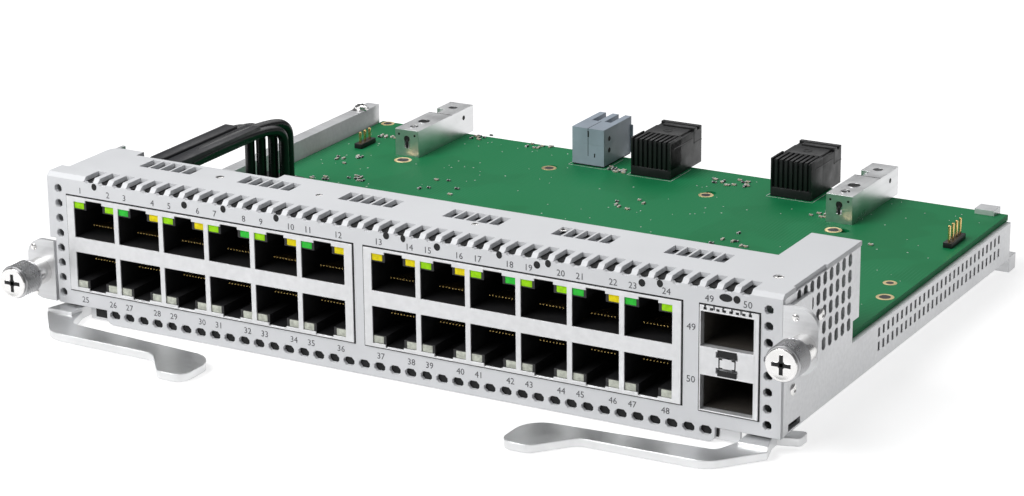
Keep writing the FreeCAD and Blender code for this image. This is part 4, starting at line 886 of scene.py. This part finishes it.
def camera():
    """The photograph's viewing angle."""
    data = bpy.data.cameras.new("camera")
    data.lens = 109.69
    data.sensor_width = 36.0
    data.clip_start, data.clip_end = 0.05, 20.0
    made = bpy.data.objects.new("camera", data)
    bpy.context.scene.collection.objects.link(made)
    turned = (Matrix.Rotation(math.radians(29.394), 4, "Z")
              @ Matrix.Rotation(math.radians(90 - 18.369), 4, "X")
              @ Matrix.Rotation(math.radians(-0.508), 4, "Z"))
    made.matrix_world = Matrix.Translation(at(485.025, -615.434, 274.234)) @ turned
    bpy.context.scene.camera = made


def lamp(name, place, size, power, target=(105.0, 60.0, 15.0)):
    """A soft square lamp turned towards the card; its place is in millimetres."""
    data = bpy.data.lights.new(name, "AREA")
    data.shape = "RECTANGLE"
    data.size, data.size_y = size
    data.energy = power
    made = bpy.data.objects.new(name, data)
    bpy.context.scene.collection.objects.link(made)
    made.location = at(*place)
    made.rotation_euler = (at(*target) - made.location).to_track_quat("-Z", "Y").to_euler()


def surroundings():
    """Plain studio light, and a white background for the camera alone."""
    world = bpy.data.worlds.new("studio")
    bpy.context.scene.world = world
    world.use_nodes = True
    tree = world.node_tree
    plain = tree.nodes["Background"]
    plain.inputs["Color"].default_value = (0.80, 0.81, 0.83, 1)
    plain.inputs["Strength"].default_value = 0.2
    seen = tree.nodes.new("ShaderNodeBackground")
    seen.inputs["Color"].default_value = (1, 1, 1, 1)
    mix = tree.nodes.new("ShaderNodeMixShader")
    path = tree.nodes.new("ShaderNodeLightPath")
    shown = tree.nodes.new("ShaderNodeMath")
    shown.operation = "MAXIMUM"
    tree.links.new(path.outputs["Is Camera Ray"], shown.inputs[0])
    tree.links.new(path.outputs["Is Transmission Ray"], shown.inputs[1])
    tree.links.new(shown.outputs["Value"], mix.inputs["Fac"])
    tree.links.new(plain.outputs["Background"], mix.inputs[1])
    tree.links.new(seen.outputs["Background"], mix.inputs[2])
    tree.links.new(mix.outputs["Shader"], tree.nodes["World Output"].inputs["Surface"])
    lamp("key", (-250.0, -500.0, 700.0), (0.7, 0.7), 8.0)
    lamp("fill", (500.0, -600.0, 350.0), (0.6, 0.6), 0.15)
    lamp("rear", (0.0, 700.0, 600.0), (0.9, 0.5), 2.2)
    bpy.context.scene.view_settings.view_transform = "Standard"


def floor():
    """A pale floor that keeps the card's shadow and meets the white background."""
    mesh = bmesh.new()
    bmesh.ops.create_grid(mesh, x_segments=1, y_segments=1, size=6.0)
    data = bpy.data.meshes.new("floor")
    mesh.to_mesh(data)
    mesh.free()
    made = bpy.data.objects.new("floor", data)
    bpy.context.scene.collection.objects.link(made)
    made.location = (0, 0, CORNER.z - 0.0003)
    shader = Shader("floor_white", (0.58, 0.58, 0.58), 0.9)
    shader.bump(shader.noise(40.0), 0.0002, 0.1)
    path = shader.add("ShaderNodeLightPath").outputs
    seen = shader.math("MAXIMUM", path["Is Camera Ray"],
                       shader.math("MAXIMUM", path["Is Glossy Ray"], path["Is Transmission Ray"]))
    shader.surface.inputs["Emission Color"].default_value = (1, 1, 1, 1)
    shader.link(shader.math("MULTIPLY", seen, 0.68), shader.surface.inputs["Emission Strength"])
    data.materials.append(shader.material)


camera()
dress_nodes()
add_pieces()
surroundings()
floor()
